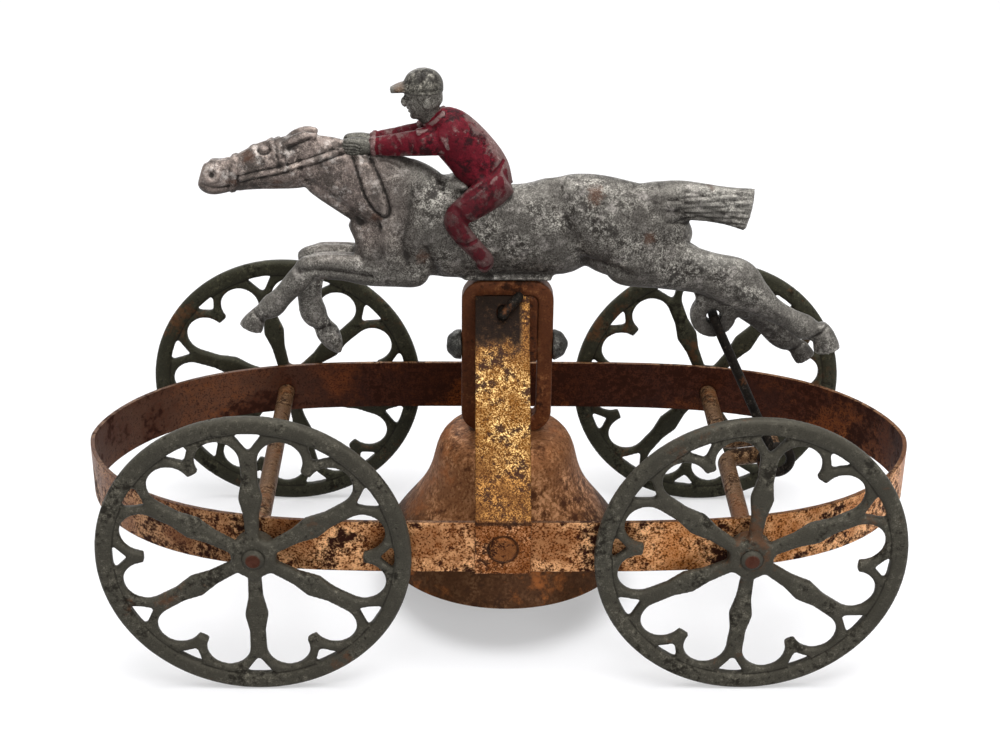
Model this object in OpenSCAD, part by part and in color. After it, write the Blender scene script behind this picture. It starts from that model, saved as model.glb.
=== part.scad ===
// Pull-along bell toy: a galloping horse and rider rock on a strip-metal frame
// and ring a bell as the cranked rear axle turns. Millimetres, +Z up, horse faces -X.
// The origin is on the floor, under the middle of the hoop.

/* [Wheels] */
// Diameter over the tread
wheel_d = 70; // [64:0.5:78]
// Thickness of the cast web
web_t = 2.2; // [1.6:0.1:3.2]
// Radial width of the rim
rim_w = 3.8; // [3:0.1:5]
// How far the rim stands proud of the web on each face
rim_proud = 0.25; // [0.1:0.05:0.6]
// Diameter of the hub
hub_d = 10; // [8:0.5:12]
// Width of a spoke where it leaves the hub
spoke_neck_w = 2.9; // [2.2:0.1:3.6]
// Width of a spoke at its swelling
spoke_knuckle_w = 5.3; // [4:0.1:6.5]
// Width of a spoke just inside its fork
spoke_fork_w = 3.8; // [3:0.1:4.6]
// Radius of a heart's two lobes
lobe_r = 4.9; // [4:0.1:5.4]
// Land between a lobe and the inner edge of the rim
lobe_land = 1.2; // [0.8:0.1:2.5]
// Height of the small opening in a spoke's fork
fork_gap_h = 4.8; // [3:0.1:5.5]
// Height of the small opening behind a heart's cusp
cusp_gap_h = 3.4; // [2:0.1:4]
// Width of both small openings at the rim
small_gap_w = 7.2; // [5:0.1:8]
// Gap between the hoop's side at its widest and the wheels' inner faces
wheel_gap = 0.9; // [0.5:0.1:4]
// Distance between the two axles
wheelbase = 110.6; // [104:0.2:116]

/* [Axles] */
// Diameter of both axles
axle_d = 4.2; // [3.4:0.1:4.8]
// Height of the peened end outside a hub
peen_h = 0.8; // [0.5:0.1:1.4]
// Throw of the rear axle's crank
crank_throw = 12; // [9:0.2:12.5]
// Angle of the crank above level, pointing back
crank_angle = 8; // [-20:1:30]
// Distance between the middles of the crank's two arms
crank_w = 8.6; // [8:0.1:11]
// Middle of the crank's near arm, from the middle of the toy
crank_y = 2.1; // [1.5:0.1:4]
// Bend radius of the axle wire at its middle line
crank_bend_r = 3; // [2.6:0.1:3.4]

/* [Frame] */
// Length of the hoop
hoop_l = 197; // [190:0.2:210]
// Width of the hoop
hoop_w = 81.8; // [74:0.2:92]
// Height of the strip that the hoop is bent from
hoop_h = 12.7; // [11:0.1:15]
// Thickness of the hoop's strip
hoop_t = 1; // [0.6:0.1:1.4]
// Middle of the hoop's strip above the axles
hoop_rise = 1; // [0:0.1:2]
// Width of the two uprights
strap_w = 12.5; // [10:0.1:14]
// Thickness of the uprights
strap_t = 0.9; // [0.6:0.1:1.2]
// Height of the rocking pivot above the axles
pivot_rise = 43; // [41:0.2:46]
// Middle of an upright's pivot hole, from the middle of the toy
pivot_y = 6.3; // [6:0.1:9]
// Length of an upright past its pivot hole
strap_end = 3.8; // [3:0.1:4.2]
// Diameter of the pivot wire
pivot_d = 2.2; // [1.8:0.1:2.6]
// Diameter of the rivets that hold the uprights
rivet_d = 3.4; // [2.5:0.1:4.2]
// Diameter of a rivet's head
rivet_head_d = 6.5; // [5:0.1:8]
// Height of a rivet's head
rivet_head_h = 0.6; // [0.4:0.1:1]

/* [Rocker] */
// Width of the bell hanger
hanger_w = 21.4; // [20:0.2:24]
// Height of the bell hanger
hanger_h = 39.1; // [37:0.1:42]
// Thickness of the hanger's bar
hanger_t = 3.6; // [2.8:0.1:4]
// Depth of the hanger's bar, front to back
hanger_depth = 4.6; // [3.6:0.1:5]
// Outer corner radius of the hanger
hanger_r = 5; // [3.8:0.1:6.5]
// Top of the hanger above the pivot
hanger_over = 5.8; // [5.6:0.1:6.6]
// Middle of the hanger behind the pivot
hanger_x = 1.3; // [0:0.1:2]
// Diameter of the pivot block's two pegs
peg_d = 4; // [3:0.1:5]
// Pegs below the pivot
peg_drop = 11.2; // [9:0.1:13]
// Radius of the peened heads on the pegs
peg_head_r = 3.6; // [3:0.1:4.5]
// Depth of the pivot block below its pegs
block_foot = 3.6; // [2.5:0.1:6]
// Diameter of the two tenons under the horse
tenon_d = 2.6; // [2:0.1:3]
// Length of the tenons inside the pivot block
tenon_l = 4; // [2:0.1:6]

/* [Bell] */
// Diameter of the bell's mouth
bell_d = 61; // [54:0.5:62]
// Height of the bell
bell_h = 32; // [28:0.2:34]
// Diameter of the bell's flat crown
crown_d = 18; // [14:0.5:20]
// Thickness of the bell's wall
bell_t = 1.2; // [0.8:0.1:1.6]
// Diameter of the stud through the crown
stud_d = 4; // [3:0.1:5]
// Pin of the clapper below the crown
clapper_drop = 6.5; // [6:0.1:9]
// Diameter of the clapper's wire
clapper_wire_d = 2; // [1.6:0.1:2.4]
// Diameter of the clapper's ball
clapper_ball_d = 9; // [7:0.1:10]
// Ball of the clapper below its pin
clapper_l = 20; // [16:0.2:22]

/* [Horse] */
// Pad of the casting between the hanger and the belly
pad_h = 0.8; // [0.5:0.1:2]
// Width of the casting's pad across the hanger
pad_w = 6.6; // [5:0.1:9]
// Lug for the connecting rod, behind the pivot
lug_x = 49.7; // [48:0.1:51]
// Lug for the connecting rod, below the pivot
lug_drop = 3.9; // [3:0.1:5]
// Outer radius of the lug
lug_r = 5.4; // [4.5:0.1:6]
// Thickness of the lug
lug_t = 3; // [2.4:0.1:3.6]
// Diameter of the lug's hole, in which the rod hangs loosely
lug_hole_d = 3.3; // [3:0.1:4]
// Spread of the hind legs, and of the forelegs, from the middle
leg_spread = 3.4; // [3:0.1:4]

/* [Connecting rod] */
// Diameter of the rod's wire
rod_d = 2.3; // [1.8:0.1:2.6]
// Wire past the far face of the lug
rod_tail = 2; // [1:0.1:4]

/* [Clearances] */
// Radial clearance of turning pins and axles
run_gap = 0.05; // [0.03:0.01:0.1]
// Radial clearance of riveted and pressed pins
set_gap = 0.02; // [0.01:0.01:0.05]
// Radial clearance of the loose wires in their holes
loose_gap = 0.3; // [0.2:0.05:0.4]
// Clearance between the faces of moving pieces
side_gap = 0.35; // [0.3:0.05:0.6]
// Radial clearance of the rivets in their punched holes
rivet_gap = 0.1; // [0.06:0.01:0.2]

/* [Hidden] */
$fn = 64;
eps = 0.01;

// Heights and places that follow from the driving sizes
wheel_r = wheel_d / 2;
axle_r = axle_d / 2;
front_x = -wheelbase / 2;
rear_x = wheelbase / 2;
axle_z = wheel_r;
hoop_z = axle_z + hoop_rise;
hoop_top = hoop_z + hoop_h / 2;
hoop_bottom = hoop_z - hoop_h / 2;
pivot_z = axle_z + pivot_rise;
hanger_top = pivot_z + hanger_over;
hanger_bottom = hanger_top - hanger_h;
horse_z = hanger_top + pad_h;
lug_z = pivot_z - lug_drop;
crank_pin_x = rear_x + crank_throw * cos(crank_angle);
crank_pin_z = axle_z + crank_throw * sin(crank_angle);
rod_y = crank_y - axle_r - side_gap - rod_d / 2;
lug_y = rod_y + rod_d / 2 + side_gap;
oval_side = 4;
oval_end = 1.7;

// Unit vector, and the square across it in a plane
function unit(v) = v / norm(v);
function across(v) = [-v.y, v.x];

// A closed run of points moved to its left by a distance
function inset(pts, d) =
    [for (i = [0:len(pts) - 1])
        let (before = pts[(i + len(pts) - 1) % len(pts)], after = pts[(i + 1) % len(pts)])
        pts[i] + d * across(unit(after - before))];

// Points along a cubic curve between four guide points
function curve(p, steps) =
    [for (i = [0:steps])
        let (t = i / steps, u = 1 - t)
        u * u * u * p[0] + 3 * u * u * t * p[1] + 3 * u * t * t * p[2] + t * t * t * p[3]];

// A cylinder along Y, between two Y values
module rod_y(d, y0, y1) {
    translate([0, y1, 0]) rotate([90, 0, 0]) cylinder(d = d, h = y1 - y0);
}

// A plate cut from an outline in X and Z, between two Y values
module plate_y(y0, y1) {
    translate([0, y1, 0]) rotate([90, 0, 0]) linear_extrude(y1 - y0) children();
}

// A rectangle with round corners, centred on the origin
module round_rect(w, h, r) {
    square([w, h - 2 * r], center = true);
    square([w - 2 * r, h], center = true);
    for (sx = [-1, 1], sz = [-1, 1])
        translate([sx * (w / 2 - r), sz * (h / 2 - r)]) circle(r);
}

// Wheels: six hearts between six forked spokes, cast in one piece
spokes = 6;
half_sector = 180 / spokes;
rim_in = wheel_r - rim_w;
lobe_at = rim_in - lobe_land - lobe_r;
lobe_angle = half_sector - asin((lobe_r + spoke_fork_w / 2) / lobe_at);
fork_at = sqrt(pow(lobe_at, 2) - pow(lobe_r + spoke_fork_w / 2, 2));
knuckle_at = (hub_d / 2 + fork_at) / 2 + 0.5;
knuckle_l = 4.4;
rim_edge = 0.6;
hub_proud = 0.4;
wheel_phase = [0, 12, -5, 22];

// Distance between the outer faces of the two wheels of an axle
track = hoop_w + 2 * (wheel_gap + web_t + 2 * rim_proud);

// Half the hoop's width at a distance from its middle
function hoop_half(x) = hoop_w / 2 * pow(1 - pow(2 * x / hoop_l, oval_side), 1 / oval_end);

// The hub reaches in to the hoop's side, which has drawn in a little where the axles pass
hoop_at_hub = hoop_half((wheelbase - hub_d) / 2);
hub_inner = track / 2 - rim_proud - web_t - hoop_at_hub - side_gap;
wheel_colour = "#4b4d47";

// A point beside a spoke, by its distance along the spoke and from the spoke's middle line
function beside_spoke(along, off) =
    [along * cos(half_sector) + off * sin(half_sector),
     along * sin(half_sector) - off * cos(half_sector)];
function flip(pts) = [for (i = [len(pts) - 1:-1:0]) [pts[i].x, -pts[i].y]];

module heart() {
    lobe = lobe_at * [cos(lobe_angle), sin(lobe_angle)];
    cusp = [lobe_at - 0.9, 0];
    side = [beside_spoke(hub_d / 2 - 1, spoke_neck_w / 2),
            beside_spoke(knuckle_at - knuckle_l, spoke_neck_w / 2 + 0.25),
            beside_spoke(knuckle_at, spoke_knuckle_w / 2),
            beside_spoke(knuckle_at + knuckle_l, spoke_fork_w / 2 - 0.1),
            beside_spoke(fork_at, spoke_fork_w / 2),
            lobe];
    polygon(concat(side, [cusp], flip(side)));
    for (s = [-1, 1]) translate([lobe.x, s * lobe.y]) circle(lobe_r);
}

module small_gap(h) {
    polygon([[rim_in - h, 0], [rim_in + 0.2, small_gap_w / 2], [rim_in + 0.2, -small_gap_w / 2]]);
}

// One wheel on its side: the inner face of the web is at Z 0
module wheel_casting(phase) {
    difference() {
        union() {
            rotate(phase) linear_extrude(web_t) difference() {
                circle(rim_in + 0.5);
                for (k = [0:spokes - 1]) rotate(k * 2 * half_sector) {
                    heart();
                    small_gap(cusp_gap_h);
                    rotate(half_sector) small_gap(fork_gap_h);
                }
            }
            rotate_extrude() polygon([
                [rim_in, -rim_proud], [wheel_r - rim_edge, -rim_proud], [wheel_r, rim_edge - rim_proud],
                [wheel_r, web_t + rim_proud - rim_edge], [wheel_r - rim_edge, web_t + rim_proud],
                [rim_in, web_t + rim_proud]]);
            translate([0, 0, -hub_inner]) cylinder(d = hub_d, h = hub_inner + web_t + hub_proud);
        }
        translate([0, 0, -track]) cylinder(r = axle_r + set_gap, h = 2 * track);
    }
}

module wheel(x, side, phase) {
    color(wheel_colour) translate([x, 0, axle_z])
        mirror([0, side > 0 ? 1 : 0, 0])
            translate([0, web_t - track / 2 + rim_proud, 0]) rotate([90, 0, 0]) wheel_casting(phase);
}

module front_near_wheel() { wheel(front_x, -1, wheel_phase[0]); }
module front_far_wheel() { wheel(front_x, 1, wheel_phase[1]); }
module rear_near_wheel() { wheel(rear_x, -1, wheel_phase[2]); }
module rear_far_wheel() { wheel(rear_x, 1, wheel_phase[3]); }

// Axles: plain wire, headed over the hubs; the rear one is bent into a crank
axle_end = track / 2 - rim_proud + hub_proud;
axle_colour = "#7a5b40";

// The peened end of an axle, standing out along -Y from the hub's face
module peened_end() {
    translate([0, -axle_end, 0]) rotate([90, 0, 0])
        cylinder(r1 = axle_r + 0.5, r2 = axle_r - 0.5, h = peen_h);
}

module axle_ends() {
    peened_end();
    mirror([0, 1, 0]) peened_end();
}

module front_axle() {
    color(axle_colour) translate([front_x, 0, axle_z]) {
        rod_y(axle_d, -axle_end, axle_end);
        axle_ends();
    }
}

// A quarter bend of the axle wire, from -X at the origin's right round to +Y
module quarter_bend() {
    rotate_extrude(angle = 90) translate([crank_bend_r, 0]) circle(d = axle_d);
}

// Half of the crank, in X and Y with the axle along Y: near journal, arm and half the pin
module crank_half(journal) {
    arm = crank_throw - 2 * crank_bend_r;
    translate([0, -journal, 0]) rotate([-90, 0, 0]) cylinder(d = axle_d, h = journal - crank_bend_r);
    translate([crank_bend_r, -crank_bend_r, 0]) rotate(90) quarter_bend();
    translate([crank_bend_r, 0, 0]) rotate([0, 90, 0]) cylinder(d = axle_d, h = arm);
    translate([crank_throw - crank_bend_r, crank_bend_r, 0]) rotate(-90) quarter_bend();
    translate([crank_throw, crank_bend_r, 0]) rotate([-90, 0, 0])
        cylinder(d = axle_d, h = crank_w / 2 - crank_bend_r);
}

module crank_axle() {
    color(axle_colour) translate([rear_x, 0, axle_z]) {
        rotate([0, -crank_angle, 0]) {
            translate([0, crank_y, 0]) {
                crank_half(crank_y + axle_end);
                translate([0, crank_w, 0]) mirror([0, 1, 0]) crank_half(axle_end - crank_y - crank_w);
            }
            axle_ends();
        }
    }
}

// Frame: an oval hoop of strip on edge, and two uprights that lean in to the pivot
oval_points = 96;
frame_colour = "#a5622f";

function oval(l, w) =
    [for (i = [0:oval_points - 1])
        let (a = 360 * (i + 0.5) / oval_points)
        [l / 2 * sign(cos(a)) * pow(abs(cos(a)), 2 / oval_side),
         w / 2 * sign(sin(a)) * pow(abs(sin(a)), 2 / oval_end)]];

module hoop_band() {
    outer = oval(hoop_l, hoop_w);
    color(frame_colour) difference() {
        translate([0, 0, hoop_bottom]) linear_extrude(hoop_h) difference() {
            polygon(outer);
            polygon(inset(outer, hoop_t));
        }
        for (x = [front_x, rear_x])
            translate([x, 0, axle_z]) rod_y(axle_d + 2 * run_gap, -hoop_w, hoop_w);
        translate([0, 0, hoop_z]) rod_y(rivet_d + 2 * rivet_gap, -hoop_w, hoop_w);
    }
}

// The upright's middle line, in Y and Z: foot, bend, pivot hole and end
strap_y = hoop_w / 2 + strap_t / 2 + set_gap;
strap_bend = [-strap_y, hoop_top + 0.4];
strap_eye = [-pivot_y, pivot_z];
strap_run = unit(strap_eye - strap_bend);
strap_out = across(strap_run);

module near_strap() {
    foot = [-strap_y, hoop_bottom];
    top = strap_eye + strap_end * strap_run;
    fold = strap_t / 2 * (across([0, 1]) + strap_out) / (1 + strap_run.y);
    face = strap_t / 2 * across([0, 1]);
    side = strap_t / 2 * strap_out;
    color(frame_colour) difference() {
        translate([-strap_w / 2, 0, 0]) rotate([90, 0, 90]) linear_extrude(strap_w)
            polygon([foot + face, strap_bend + fold, top + side, top - side, strap_bend - fold, foot - face]);
        translate([0, 0, hoop_z]) rod_y(rivet_d + 2 * rivet_gap, -hoop_w, 0);
        translate([0, 0, pivot_z]) rod_y(pivot_d + 2 * loose_gap, -2 * pivot_y, 0);
    }
}

module far_strap() { mirror([0, 1, 0]) near_strap(); }

// The hoop's side is flat between the two points of its outline beside an upright
hoop_flat = hoop_w / 2 * pow(cos(180 / oval_points), 2 / oval_end);

module near_strap_rivet() {
    outside = strap_y + strap_t / 2 + set_gap;
    inside = hoop_flat - hoop_t - set_gap;
    color(frame_colour) translate([0, 0, hoop_z]) {
        rod_y(rivet_d, -outside - rivet_head_h / 2, -inside + rivet_head_h / 2);
        translate([0, -outside, 0]) rotate([90, 0, 0])
            cylinder(d1 = rivet_head_d, d2 = rivet_head_d - 1, h = rivet_head_h);
        translate([0, -inside, 0]) rotate([-90, 0, 0])
            cylinder(d1 = rivet_head_d, d2 = rivet_head_d - 1, h = rivet_head_h);
    }
}

module far_strap_rivet() { mirror([0, 1, 0]) near_strap_rivet(); }

// The pivot wire, with each end bent up flat against its upright
pin_leg = 6;
pin_leg_angle = 38;

pin_knee_y = pivot_y + (strap_t / 2 + pivot_d / 2 + set_gap) / strap_run.y;

module pin_end() {
    lean = atan2(strap_run.x, strap_run.y);
    translate([0, -pin_knee_y, 0]) sphere(d = pivot_d);
    translate([0, -pin_knee_y, 0]) rotate([-lean, 0, 0]) rotate([0, pin_leg_angle, 0]) {
        cylinder(d = pivot_d, h = pin_leg);
        translate([0, 0, pin_leg]) sphere(d = pivot_d);
    }
}

module pivot_pin() {
    color("#3a3633") translate([0, 0, pivot_z]) {
        rod_y(pivot_d, -pin_knee_y, pin_knee_y);
        pin_end();
        rotate(180) pin_end();
    }
}

// Rocker: hanger, the white-metal block that turns on the pivot, and the bell
hanger_mid = hanger_top - hanger_h / 2;
tenon_x = [hanger_x - hanger_w / 2 + hanger_t + 3, hanger_x + hanger_w / 2 - hanger_t - 3];
peg_z = pivot_z - peg_drop;
window_r = hanger_r - hanger_t + 0.6;
block_top = hanger_top - hanger_t - set_gap;
block_bottom = peg_z - block_foot;
bell_z = hanger_bottom - set_gap;

module hanger_loop() {
    color("#6b4028") difference() {
        translate([hanger_x, 0, hanger_mid]) plate_y(-hanger_depth / 2, hanger_depth / 2) difference() {
            round_rect(hanger_w, hanger_h, hanger_r);
            round_rect(hanger_w - 2 * hanger_t, hanger_h - 2 * hanger_t, window_r);
        }
        translate([hanger_x - hanger_w, 0, peg_z]) rotate([0, 90, 0])
            cylinder(r = peg_d / 2 + set_gap, h = 2 * hanger_w);
        translate([hanger_x, 0, hanger_bottom - hanger_t])
            cylinder(r = stud_d / 2 + set_gap, h = 3 * hanger_t);
        for (x = tenon_x)
            translate([x, 0, hanger_top - 2 * hanger_t])
                cylinder(r = tenon_d / 2 + set_gap, h = 3 * hanger_t);
    }
}

// A peg through one leg of the hanger, peened over into a round head
module peg() {
    leg_face = hanger_w / 2 + set_gap;
    rotate([0, 90, 0]) {
        cylinder(d = peg_d, h = leg_face);
        translate([0, 0, leg_face]) intersection() {
            sphere(peg_head_r);
            cylinder(r = 2 * peg_head_r, h = 2 * peg_head_r);
        }
    }
}

module pivot_block() {
    inner_w = hanger_w - 2 * hanger_t - 2 * set_gap;
    inner_h = hanger_h - 2 * hanger_t - 2 * set_gap;
    color("#8d8d8c") difference() {
        translate([hanger_x, 0, 0]) {
            translate([0, 0, hanger_mid]) plate_y(-hanger_depth / 2, hanger_depth / 2) intersection() {
                round_rect(inner_w, inner_h, window_r - set_gap);
                translate([-inner_w / 2, block_bottom - hanger_mid])
                    square([inner_w, block_top - block_bottom]);
            }
            translate([0, 0, peg_z]) {
                peg();
                mirror([1, 0, 0]) peg();
            }
        }
        translate([0, 0, pivot_z]) rod_y(pivot_d + 2 * run_gap, -hanger_depth, hanger_depth);
        for (x = tenon_x)
            translate([x, 0, block_top - tenon_l]) cylinder(r = tenon_d / 2 + set_gap, h = 2 * tenon_l);
    }
}

// The bell's outside from the crown to the lip, in radius and height
bell_r = bell_d / 2;
waist = [crown_d / 2 + 8.2, bell_z - 7.6];
bell_outer = concat(
    curve([[crown_d / 2, bell_z], [crown_d / 2 + 5, bell_z], waist + [-1.1, 5.6], waist], 8),
    [for (i = [1:14]) curve([waist, waist + [2.4, -12], [bell_r - 3.8, bell_z - bell_h + 10],
                             [bell_r, bell_z - bell_h]], 14)[i]]);
bell_inner = [for (i = [0:len(bell_outer) - 1])
    let (before = bell_outer[max(i - 1, 0)], after = bell_outer[min(i + 1, len(bell_outer) - 1)])
    bell_outer[i] - bell_t * across(unit(after - before))];

module bell() {
    last = len(bell_inner) - 1;
    color("#8a5a3c") translate([hanger_x, 0, 0]) rotate_extrude()
        polygon(concat([[stud_d / 2 + set_gap, bell_z]], bell_outer,
                       [for (i = [last:-1:0]) bell_inner[i]],
                       [[stud_d / 2 + set_gap, bell_z - bell_t]]));
}

// The stud that holds the bell, with an eye below for the clapper
eye_r = clapper_wire_d / 2 + 1.7;
eye_t = 2.4;
stud_head_d = stud_d + 3;
stud_head_h = 1.6;
clapper_z = bell_z - bell_t - clapper_drop;

module bell_stud() {
    floor_z = hanger_bottom + hanger_t + set_gap;
    under = bell_z - bell_t - set_gap;
    color("#6d6a66") translate([hanger_x, 0, 0]) difference() {
        union() {
            translate([0, 0, clapper_z]) cylinder(d = stud_d, h = floor_z - clapper_z);
            translate([0, 0, floor_z]) cylinder(d1 = stud_head_d, d2 = stud_d, h = stud_head_h);
            translate([0, 0, under - stud_head_h]) cylinder(d = stud_head_d, h = stud_head_h);
            translate([0, 0, clapper_z]) rod_y(2 * eye_r, -eye_t / 2, eye_t / 2);
        }
        translate([0, 0, clapper_z]) rod_y(clapper_wire_d + 2 * run_gap, -2 * stud_d, 2 * stud_d);
        for (s = [-1, 1])
            translate([-stud_d, s > 0 ? eye_t / 2 : -eye_t / 2 - stud_d, clapper_z - 2 * eye_r])
                cube([2 * stud_d, stud_d, 3.4 * eye_r]);
    }
}

// The clapper: a wire bent through the eye, and a ball cast on its end
stirrup_y = eye_t / 2 + side_gap + clapper_wire_d / 2;
stirrup_h = eye_r + side_gap + clapper_wire_d;

module clapper_rod() {
    color("#4a4643") translate([hanger_x, 0, clapper_z]) {
        rod_y(clapper_wire_d, -stirrup_y, stirrup_y);
        for (s = [-1, 1]) translate([0, s * stirrup_y, 0]) {
            sphere(d = clapper_wire_d);
            translate([0, 0, -stirrup_h]) cylinder(d = clapper_wire_d, h = stirrup_h);
            translate([0, 0, -stirrup_h]) sphere(d = clapper_wire_d);
        }
        translate([0, 0, -stirrup_h]) rod_y(clapper_wire_d, -stirrup_y, stirrup_y);
        translate([0, 0, -clapper_l]) cylinder(d = clapper_wire_d, h = clapper_l - stirrup_h);
    }
}

module clapper_ball() {
    color("#7d7d7c") translate([hanger_x, 0, clapper_z - clapper_l]) difference() {
        sphere(d = clapper_ball_d);
        cylinder(r = clapper_wire_d / 2 + set_gap, h = clapper_ball_d);
    }
}

// Connecting rod: a wire hooked into the lug, with an eye beside the crank
rod_eye_r = axle_r + loose_gap + rod_d / 2;
rod_bend_r = rod_d;

module connecting_rod() {
    run = [crank_pin_x - lug_x, crank_pin_z - lug_z];
    length = norm(run);
    color("#2c2724") translate([lug_x, rod_y, lug_z])
        rotate([0, atan2(run.x, run.y), 0]) {
            rod_y(rod_d, 0, rod_d / 2 + side_gap + lug_t + rod_tail);
            sphere(d = rod_d);
            cylinder(d = rod_d, h = length - rod_eye_r);
            translate([0, 0, length]) rotate([90, 0, 0])
                rotate_extrude() translate([rod_eye_r, 0]) circle(d = rod_d);
        }
}

// Horse and jockey: one casting, built from lofted limbs.
// Each loft is a list of stations: [x, y, z above the belly line, half depth, half width].
loft_sides = 14;
barrel = [[-34.8, 0, 11, 2, 1.6], [-33, 0, 10.2, 5.4, 3.8], [-27, 0, 9, 10.2, 5.6],
          [-18.5, 0, 12.4, 12.5, 6.6], [-9.5, 0, 11, 11.4, 7], [4, 0, 11.5, 10.6, 7], [12, 0, 12.2, 11.8, 6.8],
          [19, 0, 13.8, 10.9, 6.6], [28, 0, 11.2, 11.6, 6.8], [35.5, 0, 9.3, 11, 6.2],
          [39, 0, 8.2, 6.6, 4.8], [40.8, 0, 6.6, 3.4, 2.8]];
neck = [[-12, 0, 15.5, 6.5, 5], [-20, 0, 17.8, 9.4, 5.4], [-28, 0, 20.6, 9.5, 4.6], [-36, 0, 24.3, 8.2, 3.9],
        [-42, 0, 27, 6.8, 3.5], [-46, 0, 27.6, 5.2, 3.2]];
head = [[-42.5, 0, 27.6, 5.6, 3.2], [-47.5, 0, 27.2, 6.2, 3.5], [-53, 0, 26.4, 5.7, 3.4],
        [-57.5, 0, 25.2, 4.6, 3], [-62, 0, 24, 3.9, 2.6], [-66, 0, 23.7, 4.2, 2.8],
        [-68.2, 0, 24.3, 2.6, 1.9]];
ear = [[-49, 1.6, 30.6, 1.4, 1.2], [-46.6, 1.8, 32.2, 2, 1.4], [-44, 1.9, 33.4, 1.8, 1.2],
       [-41.6, 2, 34.3, 0.6, 0.5]];
tail = [[32, 0, 18, 5, 3], [41, 0, 18.7, 4.5, 2.8], [50, 0, 17.4, 4.5, 2.8], [56.3, 0, 16.3, 5.2, 2.9]];
near_hind_leg = [[23, 0, 10, 4, 2.4], [29, 0, 7.6, 8.6, 3.4], [38, 0, 4.4, 6.4, 3.5], [46.2, 0, 2.2, 5.3, 3.2],
                 [53.4, 0, -0.3, 6.1, 2.8], [58, 0, -2.8, 5, 2.5], [62.4, 0, -7, 3.5, 2.1],
                 [68.2, 0, -10.4, 3.2, 2], [73, 0, -13, 3.2, 2.2], [77.6, 0, -15.8, 2.4, 1.9], [78.9, 0, -17, 1.2, 1.2]];
far_hind_leg = [[23, 0, 10, 4, 2.4], [29, 0, 7.6, 8.6, 3.4], [38, 0, 3.4, 6.2, 3.3], [46, 0, -0.6, 5, 2.8],
                [52.5, 0, -4.6, 4, 2.5], [57.5, 0, -9, 3.4, 2.2], [62.5, 0, -13, 3, 2], [67, 0, -17, 2.8, 1.9],
                [71, 0, -19.6, 2.8, 2], [74.6, 0, -22.8, 2, 1.7], [75.8, 0, -24, 1, 1]];
forearm = [[-17.4, 0, 5, 3, 2], [-20, 0, 4.2, 5.8, 3], [-24.5, 0, 3.4, 5.3, 3.2], [-30.5, 0, 2.2, 3.7, 2.9],
           [-36, 0, 3, 3.3, 2.7], [-41.5, 0, 3.2, 3.1, 2.6], [-45.4, 0, 2.5, 2.8, 2.4], [-47, 0, 1.9, 1.6, 1.4]];
reaching_leg = [[-43.5, 0, 3.6, 3, 2.4], [-47.2, 0, -0.2, 2.9, 2.3], [-51.2, 0, -4.9, 2.9, 2.1],
                [-54.6, 0, -8.6, 2.7, 2], [-57.6, 0, -10.6, 2.6, 2.1], [-60.4, 0, -12, 1.2, 1.2]];
folded_leg = [[-43.5, 0, 3, 3.4, 2.4], [-45, 0, -2.6, 3.5, 2.3], [-44.5, 0, -7.2, 3.1, 2],
              [-42, 0, -12.2, 2.6, 1.9], [-39.5, 0, -16.8, 2.6, 2.1], [-38, 0, -20, 1.4, 1.4]];
torso = [[-1.5, 0, 21, 4.2, 4.4], [-4.2, 0, 25.2, 5.8, 5.2], [-8.1, 0, 30.4, 5.9, 5.2],
         [-12.3, 0, 34.9, 5.4, 5.4], [-14.9, 0, 37.6, 3.8, 3.4], [-16.1, 0, 39.6, 2.6, 2.4]];
face = [[-16.2, 0, 37.4, 1.8, 1.6], [-17.2, 0, 39.4, 3.5, 2.9], [-17.8, 0, 42, 4.2, 3.5],
        [-18, 0, 44.4, 4, 3.5], [-18.1, 0, 46, 2.6, 2.4]];
cap = [[-18.1, 0, 44, 4.6, 4], [-18.1, 0, 46.2, 4.4, 3.8], [-18.3, 0, 48, 3.2, 2.7],
       [-18.4, 0, 49, 1.2, 1.1]];
visor = [[-19.6, 0, 45.2, 1.2, 3.3], [-23, 0, 44.7, 0.9, 3], [-25.2, 0, 44.1, 0.6, 1.7]];
arm = [[-12.5, 3.6, 33.6, 3.2, 2.6], [-18, 2.8, 33, 3.1, 2.4], [-24, 2.2, 32.2, 2.6, 2.1],
       [-30, 1.8, 31.7, 2, 1.7]];
hand = [[-29.5, 1.8, 31.7, 1.6, 1.4], [-32, 1.7, 31.6, 2.1, 1.7], [-35, 1.6, 31.5, 1.9, 1.5],
        [-36, 1.5, 31.4, 0.8, 0.7]];
rider_leg = [[0.8, 3.2, 24.4, 3.2, 2.4], [-2.5, 4.8, 22.6, 4, 2.6], [-7, 6.4, 19.6, 3.5, 2.2],
             [-10.8, 7.2, 16.6, 2.7, 1.9], [-9.4, 7.4, 13, 2.4, 1.7], [-6, 7.2, 9, 2.1, 1.6],
             [-4, 7, 6.2, 2, 1.6], [-5.2, 6.8, 4.2, 1.3, 1.3]];

// Direction of a loft at one of its stations, seen from the side
function heading(path, i) =
    let (a = path[max(i - 1, 0)], b = path[min(i + 1, len(path) - 1)])
    unit([b[0] - a[0], b[2] - a[2]]);

// One ring of points round a station, square to the loft
function ring(path, i) =
    let (s = path[i], up = across(heading(path, i)))
    [for (k = [0:loft_sides - 1])
        let (a = 360 * k / loft_sides)
        [s[0] + s[3] * cos(a) * up.x, s[1] + s[4] * sin(a), s[2] + s[3] * cos(a) * up.y]];

module loft(path) {
    n = loft_sides;
    last = len(path) - 1;
    walls = [for (i = [0:last - 1], k = [0:n - 1])
        let (a = i * n + k, b = i * n + (k + 1) % n)
        each [[a, b, a + n], [b, b + n, a + n]]];
    ends = [for (k = [1:n - 2]) each [[0, k + 1, k], [last * n, last * n + k, last * n + k + 1]]];
    polyhedron(points = [for (i = [0:last]) each ring(path, i)], faces = concat(walls, ends));
}

module pair(spread) {
    translate([0, spread, 0]) children();
    mirror([0, 1, 0]) translate([0, spread, 0]) children();
}

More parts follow.
